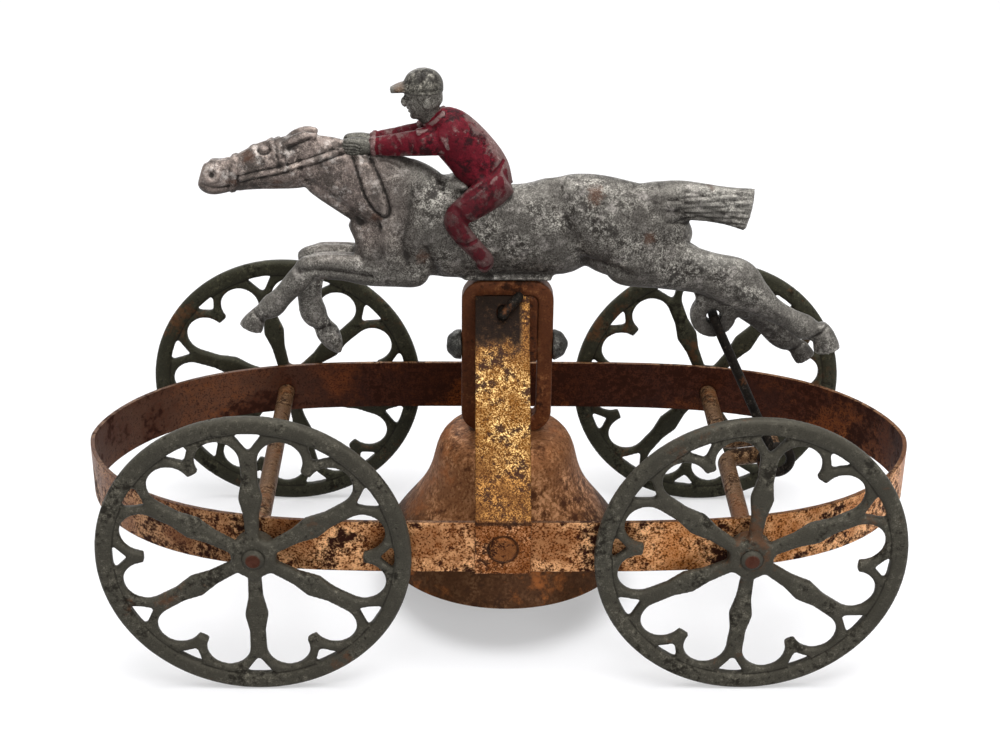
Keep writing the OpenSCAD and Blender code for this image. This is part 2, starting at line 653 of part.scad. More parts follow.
module horse_form() {
    loft(barrel);
    loft(neck);
    loft(head);
    loft(tail);
    pair(0) loft(ear);
    pair(leg_spread - 0.4) loft(forearm);
    translate([0, -leg_spread, 0]) loft(near_hind_leg);
    translate([0, leg_spread, 0]) loft(far_hind_leg);
    translate([0, -leg_spread + 0.4, 0]) loft(reaching_leg);
    translate([0, leg_spread - 0.4, 0]) loft(folded_leg);
    pair(0) loft(hand);
    loft(face);
}

module jockey_form() {
    loft(torso);
    pair(0) loft(arm);
    pair(0) loft(rider_leg);
}

module cap_form() {
    loft(cap);
    loft(visor);
}

// The casting's pad and tenons, and its lug for the connecting rod
module casting_seat() {
    pad_x = tenon_x[0] - tenon_d;
    pad_l = tenon_x[1] - tenon_x[0] + 2 * tenon_d;
    translate([pad_x, -pad_w / 2, hanger_top + set_gap]) cube([pad_l, pad_w, pad_h + 4]);
    for (x = tenon_x)
        translate([x, 0, block_top - tenon_l + set_gap])
            cylinder(d = tenon_d, h = hanger_top - block_top + tenon_l + pad_h);
}

module casting_lug() {
    translate([lug_x, 0, lug_z]) {
        rod_y(2 * lug_r, lug_y, lug_y + lug_t);
        translate([-lug_r + 1, lug_y, 0]) cube([2 * lug_r - 1, lug_t, 2 * lug_r]);
    }
}

module horse_and_jockey() {
    difference() {
        union() {
            translate([0, 0, horse_z]) resize([0, 0, 0]) {
                color("#8f8f8d") horse_form();
                color("#9c2036") jockey_form();
                color("#4b443e") cap_form();
            }
            color("#8f8f8d") casting_seat();
            color("#8f8f8d") casting_lug();
        }
        translate([lug_x, 0, lug_z]) rod_y(lug_hole_d, lug_y - lug_t, lug_y + 2 * lug_t);
    }
}

hoop_band();
near_strap();
far_strap();
near_strap_rivet();
far_strap_rivet();
pivot_pin();
front_axle();
front_near_wheel();
front_far_wheel();
crank_axle();
rear_near_wheel();
rear_far_wheel();
horse_and_jockey();
pivot_block();
hanger_loop();
bell();
bell_stud();
clapper_rod();
clapper_ball();
connecting_rod();
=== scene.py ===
# Studio picture of a pull-along bell toy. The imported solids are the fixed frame, and each piece
# is finished, or made again in finer form, in the order in which the toy goes together.
import math

import bmesh
import bpy
import numpy as np
from mathutils import Matrix, Vector


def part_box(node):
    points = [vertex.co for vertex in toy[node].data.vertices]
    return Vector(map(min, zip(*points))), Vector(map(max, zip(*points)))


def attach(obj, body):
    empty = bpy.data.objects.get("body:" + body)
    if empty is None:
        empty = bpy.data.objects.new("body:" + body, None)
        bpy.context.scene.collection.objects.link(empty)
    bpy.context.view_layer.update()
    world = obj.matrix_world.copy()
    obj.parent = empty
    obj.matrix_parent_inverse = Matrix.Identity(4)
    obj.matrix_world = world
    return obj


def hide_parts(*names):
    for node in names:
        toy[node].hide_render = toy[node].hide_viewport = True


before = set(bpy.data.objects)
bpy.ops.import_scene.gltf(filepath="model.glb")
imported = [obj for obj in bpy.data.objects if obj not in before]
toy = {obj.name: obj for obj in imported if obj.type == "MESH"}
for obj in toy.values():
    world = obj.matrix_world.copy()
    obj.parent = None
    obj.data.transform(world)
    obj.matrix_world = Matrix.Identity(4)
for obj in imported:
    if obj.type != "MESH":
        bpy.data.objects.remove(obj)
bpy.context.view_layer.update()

# Camera: a long lens on the near side, square to the frame and a little above the horse.
# It stands where the photographer stood, with the same slight tilt of the horizon.
MM = 0.001
look_at, distance = Vector((-0.24, 0.6, 58.38)) * MM, 426.8 * MM
focal_length, film_width = 64.46, 36
turn, height, tilt = (math.radians(a) for a in (-1.249, 26.401, 0.733))
away = Vector((math.sin(turn) * math.cos(height), -math.cos(turn) * math.cos(height), math.sin(height)))
level = Vector((math.cos(turn), math.sin(turn), 0))
upright = away.cross(level)
across = math.cos(tilt) * level + math.sin(tilt) * upright
upward = math.cos(tilt) * upright - math.sin(tilt) * level
placed = Matrix((across, upward, away)).transposed().to_4x4()
placed.translation = look_at + distance * away

lens = bpy.data.cameras.new("studio_camera")
lens.lens, lens.sensor_width = focal_length, film_width
lens.clip_start, lens.clip_end = 0.01, 20
camera = bpy.data.objects.new("studio_camera", lens)
camera.matrix_world = placed
bpy.context.scene.collection.objects.link(camera)
bpy.context.scene.camera = camera


# Studio: a matt white table, a broad soft box overhead, weaker ones by the camera and behind, and
# an even pale surround. The table is lifted to white where the lens and bright metal see it.
def paint(code):
    """Linear colour of a hex code, as the shaders take it."""
    parts = [int(code[i:i + 2], 16) / 255 for i in (1, 3, 5)]
    return (*[c / 12.92 if c <= 0.04045 else ((c + 0.055) / 1.055) ** 2.4 for c in parts], 1)


def feed(tree, socket, value):
    """Gives a socket a link, a plain value or the colour of a hex code."""
    if isinstance(value, bpy.types.NodeSocket):
        tree.links.new(value, socket)
    else:
        socket.default_value = paint(value) if isinstance(value, str) else value


def put(tree, kind, sockets=(), **settings):
    made = tree.nodes.new("ShaderNode" + kind)
    for name, value in settings.items():
        setattr(made, name, value)
    for name, value in dict(sockets).items():
        feed(tree, made.inputs[name], value)
    return made


def sums(tree, kind, a, b=0.0):
    return put(tree, "Math", {0: a, 1: b}, operation=kind).outputs[0]


def times(tree, a, b):
    return sums(tree, "MULTIPLY", a, b)


def most(tree, a, b):
    return sums(tree, "MAXIMUM", a, b)


def measure(tree, kind, a, b=(0, 0, 0)):
    """The length of one vector, or the distance or dot product of two."""
    return put(tree, "VectorMath", {0: a, 1: b}, operation=kind).outputs["Value"]


def at_object(tree):
    return put(tree, "TexCoord").outputs["Object"]


def span(tree, value, low, high, start=0.0, end=1.0):
    """A soft step from start to end while the value goes from low to high."""
    given = {"Value": value, "From Min": low, "From Max": high, "To Min": start, "To Max": end}
    return put(tree, "MapRange", given, interpolation_type="SMOOTHSTEP").outputs["Result"]


def tint(tree, mask, under, over, share=1.0):
    """One colour laid over another by a mask, or by a share of it."""
    mask = mask if share == 1.0 else times(tree, mask, share)
    return put(tree, "Mix", {0: mask, 6: under, 7: over}, data_type="RGBA").outputs[2]


def seen_ray(tree):
    """One where the lens, a reflection or glass looks, none where light only bounces."""
    path = put(tree, "LightPath").outputs
    reflected = most(tree, path["Is Glossy Ray"], path["Is Transmission Ray"])
    return most(tree, path["Is Camera Ray"], reflected)


table_reach, toy_reach, white_from = 4.0, 0.3, 1.3
near_lift, dim_surround = 0.38, 0.28
corners = [(x * table_reach, y * table_reach, 0) for x, y in ((-1, -1), (1, -1), (1, 1), (-1, 1))]
table_mesh = bpy.data.meshes.new("table_top")
table_mesh.from_pydata(corners, [], [(0, 1, 2, 3)])
table = bpy.data.objects.new("table_top", table_mesh)
bpy.context.scene.collection.objects.link(table)

table_white = bpy.data.materials.new("table_white")
table_white.use_nodes = True
tree = table_white.node_tree
matt = tree.nodes["Principled BSDF"].inputs
far_off = span(tree, measure(tree, "LENGTH", at_object(tree)), toy_reach, white_from)
close = tint(tree, far_off, "#cbcbcd", "#000000")
feed(tree, matt["Base Color"], tint(tree, seen_ray(tree), "#8c8c8e", close))
matt["Roughness"].default_value = 0.9
matt["Specular IOR Level"].default_value = 0.0
matt["Emission Color"].default_value = paint("#ffffff")
lift = put(tree, "MapRange", {"Value": far_off, "To Min": near_lift}).outputs[0]
feed(tree, matt["Emission Strength"], times(tree, seen_ray(tree), lift))
table_mesh.materials.append(table_white)

surround = bpy.data.worlds.new("surround")
surround.use_nodes = True
tree = surround.node_tree
backdrop = tree.nodes["Background"].inputs
backdrop["Color"].default_value = paint("#ffffff")
strength = put(tree, "MapRange", {"Value": seen_ray(tree), "To Min": dim_surround})
feed(tree, backdrop["Strength"], strength.outputs[0])
bpy.context.scene.world = surround
bpy.context.scene.view_settings.view_transform = "Standard"


def soft_box(name, place, aim, size, watts):
    lamp = bpy.data.lights.new(name, "AREA")
    lamp.size, lamp.energy = size, watts
    box = bpy.data.objects.new(name, lamp)
    box.location = place
    box.rotation_euler = (Vector(aim) - Vector(place)).to_track_quat("-Z", "Y").to_euler()
    bpy.context.scene.collection.objects.link(box)


soft_box("overhead_box", (0.08, -0.15, 1.1), (0, 0, 0.05), 0.9, 15.0)
soft_box("camera_box", (0.4, -1.0, 0.55), (0, 0, 0.06), 0.5, 4.6)
soft_box("back_box", (-0.3, 1.0, 0.6), (0, 0, 0.06), 0.5, 2.4)


# Hoop: half-inch steel strip bent into a long oval, copper-coloured lacquer on all faces.
# The lacquer is rubbed, speckled and dirty, and browner toward the front end. Inside it is darker brown, partly dirt
# and partly painted shade, and the rear end is lighter copper as a painted highlight.
def plus(tree, a, b):
    return sums(tree, "ADD", a, b)


def less(tree, a, b):
    return sums(tree, "SUBTRACT", a, b)


def graded(tree, mask, start, end):
    return span(tree, mask, 0, 1, start, end)


def places(tree):
    """Where a point is on the toy, by axis."""
    return put(tree, "SeparateXYZ", {"Vector": at_object(tree)}).outputs


def leanings(tree):
    """Which way a face looks, by axis."""
    return put(tree, "SeparateXYZ", {"Vector": put(tree, "TexCoord").outputs["Normal"]}).outputs


def noise(tree, scale, detail, rough, where=None):
    where = at_object(tree) if where is None else where
    return put(tree, "TexNoise", {"Vector": where, "Scale": scale, "Detail": detail, "Roughness": rough}).outputs[0]


def group(name, takes, gives):
    """A new shader group with its inputs and outputs: the tree, what comes in and what goes out."""
    made = bpy.data.node_groups.new(name, "ShaderNodeTree")
    for label, kind, value in takes:
        made.interface.new_socket(label, in_out="INPUT", socket_type="NodeSocket" + kind).default_value = value
    for label, kind in gives:
        made.interface.new_socket(label, in_out="OUTPUT", socket_type="NodeSocket" + kind)
    return made, made.nodes.new("NodeGroupInput").outputs, made.nodes.new("NodeGroupOutput").inputs


grey = paint("#808080")
mottle, takes, gives = group(
    "mottled coat",
    [("Base", "Color", grey), ("Light", "Color", grey), ("Dark", "Color", grey), ("Scale", "Float", 100.0),
     ("Light Share", "Float", 0.3), ("Dark Share", "Float", 0.3), ("Speckle", "Float", 1.0)],
    [("Color", "Color"), ("Dark Mask", "Float"), ("Light Mask", "Float"), ("Height", "Float")])
broad = noise(mottle, takes["Scale"], 5, 0.62)
fine = noise(mottle, times(mottle, takes["Scale"], 6.5), 7, 0.7)
speck = noise(mottle, times(mottle, takes["Scale"], 26.0), 3, 0.6)
patch = plus(mottle, times(mottle, broad, 0.5), times(mottle, fine, 0.5))
dark_at = plus(mottle, times(mottle, takes["Dark Share"], 0.4), 0.3)
dark_mask = span(mottle, less(mottle, patch, dark_at), 0.05, -0.05)
finer = times(mottle, less(mottle, speck, fine), 0.6)
glint = plus(mottle, fine, times(mottle, finer, takes["Speckle"]))
light_at = less(mottle, 0.7, times(mottle, takes["Light Share"], 0.4))
clusters = span(mottle, broad, 0.62, 0.4, 0.3, 1.0)
bright = span(mottle, less(mottle, glint, light_at), -0.06, 0.1)
light_mask = times(mottle, bright, clusters)
coat = tint(mottle, light_mask, takes["Base"], takes["Light"])
coat = tint(mottle, span(mottle, broad, 0.35, 0.65, 0.0, 0.35), coat, takes["Dark"])
specks = times(mottle, span(mottle, speck, 0.5, 0.36), span(mottle, broad, 0.36, 0.58, 0.2, 1.0))
coat = tint(mottle, times(mottle, specks, takes["Speckle"]), coat, takes["Dark"])
coat = tint(mottle, dark_mask, coat, takes["Dark"])
raised = plus(mottle, times(mottle, fine, 0.7), times(mottle, speck, 0.3))
for label, value in (("Color", coat), ("Dark Mask", dark_mask), ("Light Mask", light_mask), ("Height", raised)):
    feed(mottle, gives[label], value)

rub, takes, gives = group("edge rub", [("Width", "Float", 0.0005), ("Scale", "Float", 500.0)],
                          [("Mask", "Float"), ("Normal", "Vector")])
rounded = put(rub, "Bevel", {"Radius": takes["Width"]}, samples=6).outputs[0]
facing = measure(rub, "DOT_PRODUCT", rounded, put(rub, "NewGeometry").outputs["Normal"])
edge = span(rub, facing, 0.99, 0.86)
worn = span(rub, noise(rub, takes["Scale"], 5, 0.7), 0.38, 0.6)
feed(rub, gives["Mask"], times(rub, edge, worn))
feed(rub, gives["Normal"], rounded)


def use(tree, made, **sockets):
    placed_group = put(tree, "Group", node_tree=made)
    for name, value in sockets.items():
        feed(tree, placed_group.inputs[name.replace("_", " ")], value)
    return placed_group.outputs


def mottled(tree, base, light, dark, scale, shares=(0.3, 0.3), speckle=1.0):
    """The mottled coat in three colours, with the shares of its light and dark patches."""
    return use(tree, mottle, Base=base, Light=light, Dark=dark, Scale=scale,
               Light_Share=shares[0], Dark_Share=shares[1], Speckle=speckle)


def finish(name, gloss=0.12):
    """A new material: itself, its tree and the inputs of its shader."""
    made = bpy.data.materials.new(name)
    made.use_nodes = True
    inputs = made.node_tree.nodes["Principled BSDF"].inputs
    inputs["Specular IOR Level"].default_value = gloss
    return made, made.node_tree, inputs


def bump(tree, height, depth, normal=None):
    made = put(tree, "Bump", {"Height": height, "Distance": depth, "Strength": 1.0})
    if normal is not None:
        feed(tree, made.inputs["Normal"], normal)
    return made.outputs[0]


def cover(tree, surface, color, metallic, roughness, normal):
    given = {"Base Color": color, "Metallic": metallic, "Roughness": roughness, "Normal": normal}
    for name, value in given.items():
        feed(tree, surface[name], value)


def dress(material, *names):
    for name in names:
        toy[name].data.materials.clear()
        toy[name].data.materials.append(material)


copper, light_copper, dirt = "#8f4f1e", "#ffc48c", "#2c1004"
lacquer, tree, surface = finish("hoop_lacquer")
where = places(tree)
# Inner faces are darker brown: partly dirt, partly painted shade inside the hoop.
outward = measure(tree, "DOT_PRODUCT", at_object(tree), put(tree, "TexCoord").outputs["Normal"])
inner_face_shade = span(tree, outward, 0.004, -0.004)
front_end = span(tree, where["X"], -0.035, -0.075)
browner_and_shaded = most(tree, inner_face_shade, times(tree, front_end, 0.5))
left_on = span(tree, noise(tree, 42.0, 5, 0.65), 0.47, 0.62)
inner_brown_and_shade = tint(tree, left_on, "#28100a", "#6b3416")
inner_brown_and_shade = tint(tree, front_end, inner_brown_and_shade, "#755442", 0.8)
# Painted highlight: the rear end of the hoop is tinted lighter copper.
rear_end_highlight = span(tree, where["X"], 0.022, 0.04)
base = tint(tree, browner_and_shaded, tint(tree, rear_end_highlight, copper, "#c97a38"), inner_brown_and_shade)
lighter = tint(tree, browner_and_shaded, light_copper, tint(tree, left_on, "#4a2413", "#965529"))
coat = mottled(tree, base, lighter, dirt, 85.0, (0.57, 0.42), 0.8)
worn = use(tree, rub, Width=0.0003, Scale=420.0)
upper_edge = span(tree, leanings(tree)["Z"], 0.5, 0.9, 0.0, 0.75)
edges = most(tree, upper_edge, times(tree, worn["Mask"], 0.8))
cover(tree, surface, tint(tree, edges, coat["Color"], "#2c170c"),
      graded(tree, most(tree, coat["Dark Mask"], inner_face_shade), 0.5, 0.1),
      graded(tree, coat["Dark Mask"], 0.42, 0.7),
      bump(tree, coat["Height"], 0.00012, worn["Normal"]))
dress(lacquer, "hoop_band")


# Uprights and rivets: two strips of the same stock riveted to the hoop's sides and leaning in
# to the pivot. The gilding is speckled bright in the middle, bare and black round the pivot.
def side_view(tree):
    """Where a point is when the toy is seen from the side."""
    at = places(tree)
    return put(tree, "CombineXYZ", {"X": at["X"], "Z": at["Z"]}).outputs[0]


gilding, tree, surface = finish("upright_gilding")
where = places(tree)
ragged = times(tree, less(tree, noise(tree, 260.0, 5, 0.65), 0.5), 0.014)
up_strip = plus(tree, where["Z"], ragged)
top_dirt = span(tree, up_strip, 0.0695, 0.0745)
gold = times(tree, span(tree, up_strip, 0.049, 0.058), span(tree, up_strip, 0.0725, 0.0665))
foot = span(tree, where["Z"], 0.0434, 0.0424)
base = tint(tree, gold, tint(tree, foot, "#6c4520", copper), "#805018")
lighter = tint(tree, gold, tint(tree, foot, "#b98748", "#f2b582"), "#f7d28c")
darker = tint(tree, gold, "#351a08", "#341905")
coat = mottled(tree, base, lighter, darker, 120.0, (0.42, 0.42))
blackened = mottled(tree, "#221710", "#4a3524", "#0e0906", 150.0, speckle=0.4)
corner = times(tree, top_dirt, span(tree, where["X"], 0.0052, 0.0036))
rivet_low, rivet_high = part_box("near_strap_rivet")
rivet_at, rivet_r = (rivet_low + rivet_high) / 2, (rivet_high.x - rivet_low.x) / 2
round_rivet = measure(tree, "DISTANCE", side_view(tree), (rivet_at.x, 0, rivet_at.z))
bend = times(tree, span(tree, where["Z"], 0.0418, 0.0424), span(tree, where["Z"], 0.0434, 0.0428))
lines = most(tree, bend, span(tree, round_rivet, rivet_r + 0.0006, rivet_r + 0.0002))
worn = use(tree, rub, Width=0.0005, Scale=420.0)
faced = tint(tree, corner, coat["Color"], blackened["Color"])
lines = times(tree, most(tree, lines, worn["Mask"]), 0.85)
cover(tree, surface, tint(tree, lines, faced, "#2a170b"),
      graded(tree, most(tree, coat["Dark Mask"], corner), 0.5, 0.05),
      most(tree, graded(tree, coat["Light Mask"], 0.55, 0.36), times(tree, corner, 0.8)),
      bump(tree, coat["Height"], 0.00016, worn["Normal"]))
dress(gilding, "near_strap", "far_strap")

rivet_brown, tree, surface = finish("rivet_brown")
coat = mottled(tree, "#84512b", "#b9804c", dirt, 260.0, (0.3, 0.4), 0.6)
worn = use(tree, rub, Width=0.0005, Scale=700.0)
cover(tree, surface, tint(tree, worn["Mask"], coat["Color"], "#2e1a0d", 0.7),
      graded(tree, coat["Dark Mask"], 0.6, 0.1),
      graded(tree, coat["Dark Mask"], 0.42, 0.7),
      bump(tree, coat["Height"], 0.00015, worn["Normal"]))
dress(rivet_brown, "near_strap_rivet", "far_strap_rivet")


# Wheels: four thin iron castings with six hearts between forked spokes, never machined.
# Each is cast again here with soft edges; dull grey-green iron, with a darker, browner copy of it on the far pair as
# painted shade.
def settle(piece, grain, passes):
    """Closes a piece into one even skin and softens its edges."""
    skin = piece.modifiers.new("skin", "REMESH")
    skin.mode, skin.voxel_size = "VOXEL", grain
    soft = piece.modifiers.new("soft", "SMOOTH")
    soft.factor, soft.iterations = 0.5, passes
    shaped = bpy.data.meshes.new_from_object(piece.evaluated_get(bpy.context.evaluated_depsgraph_get()))
    piece.modifiers.clear()
    raw, piece.data = piece.data, shaped
    shaped.name = piece.name
    bpy.data.meshes.remove(raw)
    shaped.polygons.foreach_set("use_smooth", np.ones(len(shaped.polygons), bool))
    return piece


def recast(node, name, grain, passes):
    copied = bmesh.new()
    copied.from_mesh(toy[node].data)
    bmesh.ops.remove_doubles(copied, verts=copied.verts, dist=1e-6)
    raw = bpy.data.meshes.new(name)
    copied.to_mesh(raw)
    copied.free()
    piece = bpy.data.objects.new(name, raw)
    bpy.context.scene.collection.objects.link(piece)
    return settle(piece, grain, passes)


def stand_for(piece, body, node, material):
    piece.data.materials.clear()
    piece.data.materials.append(material)
    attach(piece, body)
    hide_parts(node)


def shifted(piece, change):
    """Moves each point of a piece along its own normal by what change gives, in millimetres."""
    count = len(piece.data.vertices)
    points, normals = np.empty(count * 3), np.empty(count * 3)
    piece.data.vertices.foreach_get("co", points)
    piece.data.vertices.foreach_get("normal", normals)
    points, normals = points.reshape(-1, 3) / MM, normals.reshape(-1, 3)
    points += normals * change(points, normals)[:, None]
    piece.data.vertices.foreach_set("co", (points * MM).ravel())
    piece.data.update()


def keep_relief(piece, passes, depth):
    """Stores how far each point stands out, from what is close round it and from the whole form."""
    mesh = piece.data
    count = len(mesh.vertices)
    points, normals, ends = np.empty(count * 3), np.empty(count * 3), np.empty(len(mesh.edges) * 2, np.int32)
    mesh.vertices.foreach_get("co", points)
    mesh.vertices.foreach_get("normal", normals)
    mesh.edges.foreach_get("vertices", ends)
    points, normals, ends = points.reshape(-1, 3), normals.reshape(-1, 3), ends.reshape(-1, 2)
    near = np.maximum(np.bincount(ends.ravel(), minlength=count), 1)
    flat, pull, wider, deeper = points.copy(), 0.7, 8, 3
    for name, rounds, deep in (("relief", passes, depth), ("form", wider * passes, deeper * depth)):
        for _ in range(rounds):
            for axis in range(3):
                total = np.bincount(ends[:, 0], flat[ends[:, 1], axis], count)
                total = total + np.bincount(ends[:, 1], flat[ends[:, 0], axis], count)
                flat[:, axis] += pull * (total / near - flat[:, axis])
        out = ((points - flat) * normals).sum(1) / (deep * MM)
        kept = mesh.attributes.new(name, "FLOAT", "POINT")
        kept.data.foreach_set("value", np.clip(0.5 + out, 0, 1).astype(np.float32))


def relief(tree, name="relief"):
    return put(tree, "Attribute", attribute_name=name).outputs["Fac"]


grain, takes, gives = group("casting grain", [("Scale", "Float", 900.0), ("Pit Share", "Float", 0.3)],
                            [("Height", "Float"), ("Pits", "Float")])
sand = noise(grain, takes["Scale"], 6, 0.7)
swell = noise(grain, times(grain, takes["Scale"], 0.16), 4, 0.5)
cells = put(grain, "TexVoronoi", {"Vector": at_object(grain),
                                  "Scale": times(grain, takes["Scale"], 0.42)}).outputs["Distance"]
pit_at = less(grain, 0.72, times(grain, takes["Pit Share"], 0.5))
few = less(grain, swell, pit_at)
pits = times(grain, span(grain, cells, 0.34, 0.12), span(grain, few, -0.04, 0.05))
rough_skin = plus(grain, times(grain, sand, 0.45), times(grain, swell, 0.55))
feed(grain, gives["Height"], less(grain, rough_skin, times(grain, pits, 0.6)))
feed(grain, gives["Pits"], pits)

rust, takes, gives = group("rust bloom", [("Scale", "Float", 60.0), ("Share", "Float", 0.3)],
                           [("Color", "Color"), ("Mask", "Float")])
bloom = plus(rust, times(rust, noise(rust, takes["Scale"], 4, 0.6), 0.65),
             times(rust, noise(rust, times(rust, takes["Scale"], 9.0), 6, 0.7), 0.35))
rust_at = less(rust, 0.74, times(rust, takes["Share"], 0.4))
feed(rust, gives["Mask"], span(rust, less(rust, bloom, rust_at), -0.03, 0.07))
crumbs = noise(rust, times(rust, takes["Scale"], 14.0), 4, 0.6)
feed(rust, gives["Color"], tint(rust, crumbs, "#4a2c18", "#7d4a24"))


axle_x, axle_z, rim_in = 55.3 * MM, 35 * MM, 31.2 * MM


def off_axle(tree):
    """Distance from the nearer axle: the two lie at one height, as far behind the middle as before it."""
    at = places(tree)
    beside = less(tree, sums(tree, "ABSOLUTE", at["X"]), axle_x)
    above = less(tree, at["Z"], axle_z)
    return measure(tree, "LENGTH", put(tree, "CombineXYZ", {"X": beside, "Z": above}).outputs[0])


def iron(name, base, light, dark, rust_share):
    made, tree, surface = finish(name)
    coat = mottled(tree, base, light, dark, 120.0, (0.3, 0.32), 0.35)
    cast = use(tree, grain, Scale=1700.0, Pit_Share=0.25)
    worn = use(tree, rub, Width=0.0011, Scale=380.0)
    blooms = use(tree, rust, Scale=65.0, Share=rust_share)
    shade = tint(tree, blooms["Mask"], coat["Color"], blooms["Color"], 0.5)
    edge_tint = tint(tree, span(tree, off_axle(tree), 0.0325, 0.034), "#2a251d", "#8f8d82")
    shade = tint(tree, worn["Mask"], shade, edge_tint, 0.6)
    sunk = span(tree, relief(tree), 0.46, 0.2)
    shade = tint(tree, sunk, shade, "#1d1a14", 0.8)
    cover(tree, surface, tint(tree, cast["Pits"], shade, "#1d1a15", 0.5),
          graded(tree, blooms["Mask"], 0.25, 0.05),
          graded(tree, coat["Dark Mask"], 0.5, 0.75),
          bump(tree, cast["Height"], 0.00022, worn["Normal"]))
    return made


def rim_line(at, out):
    """A sunk line where the hearts meet the rim."""
    off = np.hypot(np.abs(at[:, 0]) - axle_x / MM, at[:, 2] - axle_z / MM)
    shown = np.clip((np.abs(out[:, 1]) - 0.4) / 0.3, 0, 1)
    return -0.4 * np.exp(-((off - rim_in / MM + 0.2) / 0.45) ** 2) * shown


near_iron = iron("near_wheel_iron", "#4a473e", "#767164", "#292620", 0.34)
# Painted shade: the far pair gets a darker, browner copy of the same iron.
far_iron_shaded = iron("far_wheel_iron_shaded", "#38372b", "#55523f", "#1d1b13", 0.4)
for end in ("front", "rear"):
    for side, skin in (("near", near_iron), ("far", far_iron_shaded)):
        node = f"{end}_{side}_wheel"
        wheel = recast(node, node + "_casting", 0.4 * MM, 9)
        shifted(wheel, rim_line)
        keep_relief(wheel, 6, 0.5)
        stand_for(wheel, end + "_wheelset", node, skin)

# Axles: drawn steel wire headed over at the hubs, the rear one bent into the crank.
# Rusty brown all along, with brighter rubbed streaks where the hoop and the eye run.
axle_rust, tree, surface = finish("axle_rust")
coat = mottled(tree, "#6e5138", "#a48664", "#2e1f14", 170.0, (0.32, 0.42), 0.5)
worn = use(tree, rub, Width=0.0004, Scale=500.0)
blooms = use(tree, rust, Scale=120.0, Share=0.55)
shade = tint(tree, blooms["Mask"], coat["Color"], blooms["Color"], 0.6)
shade = tint(tree, worn["Mask"], shade, "#a58c72", 0.6)
axle_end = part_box("front_axle")[1].y
outside = sums(tree, "ABSOLUTE", places(tree)["Y"])
head_tint = tint(tree, span(tree, off_axle(tree), 0.0014, 0.0019), "#4b2b20", "#47443c")
cover(tree, surface, tint(tree, span(tree, outside, axle_end - 0.0022, axle_end - 0.0016), shade, head_tint),
      graded(tree, blooms["Mask"], 0.5, 0.1),
      graded(tree, coat["Dark Mask"], 0.45, 0.75),
      bump(tree, coat["Height"], 0.0002, worn["Normal"]))
dress(axle_rust, "front_axle", "crank_axle")

# Pivot wire, bell stud, clapper wire and connecting rod: dark annealed wire, bent cold.
# Almost black, with a little bare grey where one piece rubs on the next.
black_wire, tree, surface = finish("annealed_wire")
coat = mottled(tree, "#1d1813", "#574e45", "#0d0a07", 210.0, (0.28, 0.45), 0.4)
worn = use(tree, rub, Width=0.0003, Scale=520.0)
blooms = use(tree, rust, Scale=160.0, Share=0.35)
shade = tint(tree, blooms["Mask"], coat["Color"], blooms["Color"], 0.6)
cover(tree, surface, tint(tree, worn["Mask"], shade, "#8b8580", 0.5),
      graded(tree, blooms["Mask"], 0.35, 0.1),
      graded(tree, coat["Light Mask"], 0.6, 0.4),
      bump(tree, coat["Height"], 0.00014, worn["Normal"]))
dress(black_wire, "pivot_pin", "bell_stud", "clapper_rod", "connecting_rod")

# Hanger: a loop of square bar with well rounded corners that carries the bell under the horse.
# Brown worn lacquer with rust at the edges.
hanger_brown, tree, surface = finish("hanger_brown")
coat = mottled(tree, "#63371f", "#8f5c38", "#2e180d", 80.0, (0.3, 0.3), 0.3)
worn = use(tree, rub, Width=0.0009, Scale=300.0)
cast = use(tree, grain, Scale=1300.0, Pit_Share=0.3)
cover(tree, surface, tint(tree, worn["Mask"], coat["Color"], "#8f6a4a", 0.5),
      graded(tree, coat["Dark Mask"], 0.2, 0.05),
      graded(tree, coat["Dark Mask"], 0.46, 0.72),
      bump(tree, cast["Height"], 0.0002))
stand_for(recast("hanger_loop", "hanger_bar", 0.3 * MM, 9), "rocker", "hanger_loop", hanger_brown)

# Bell: a thin flared cup of spun brass gone brown, hung by its crown under the hanger.
# The patina is mottled, with blooms of rust and fine turning lines, and the band round the lip is darkened as painted
# shade.
patina, tree, surface = finish("bell_patina")
where = places(tree)
# Painted shade: the band round the lip is darkened.
lip_shade = span(tree, where["Z"], 0.029, 0.02)
coat = mottled(tree, "#8f5f3c", "#cd976b", "#432411", 55.0, (0.42, 0.37), 0.5)
lines = noise(tree, 1500.0, 3, 0.6, put(tree, "CombineXYZ", {"Z": where["Z"]}).outputs[0])
worn = use(tree, rub, Width=0.0004, Scale=300.0)
blooms = use(tree, rust, Scale=50.0, Share=0.42)
shade = tint(tree, lip_shade, coat["Color"], "#2c1a0d", 0.85)
shade = tint(tree, blooms["Mask"], shade, "#a4602f", 0.5)
shade = tint(tree, span(tree, lines, 0.5, 0.75, 0, 0.3), shade, "#4a2f1e")
cover(tree, surface, tint(tree, worn["Mask"], shade, "#a8805e", 0.6),
      graded(tree, coat["Dark Mask"], 0.5, 0.25),
      graded(tree, coat["Light Mask"], 0.56, 0.4),
      bump(tree, plus(tree, coat["Height"], lines), 0.00009, worn["Normal"]))
dress(patina, "bell")


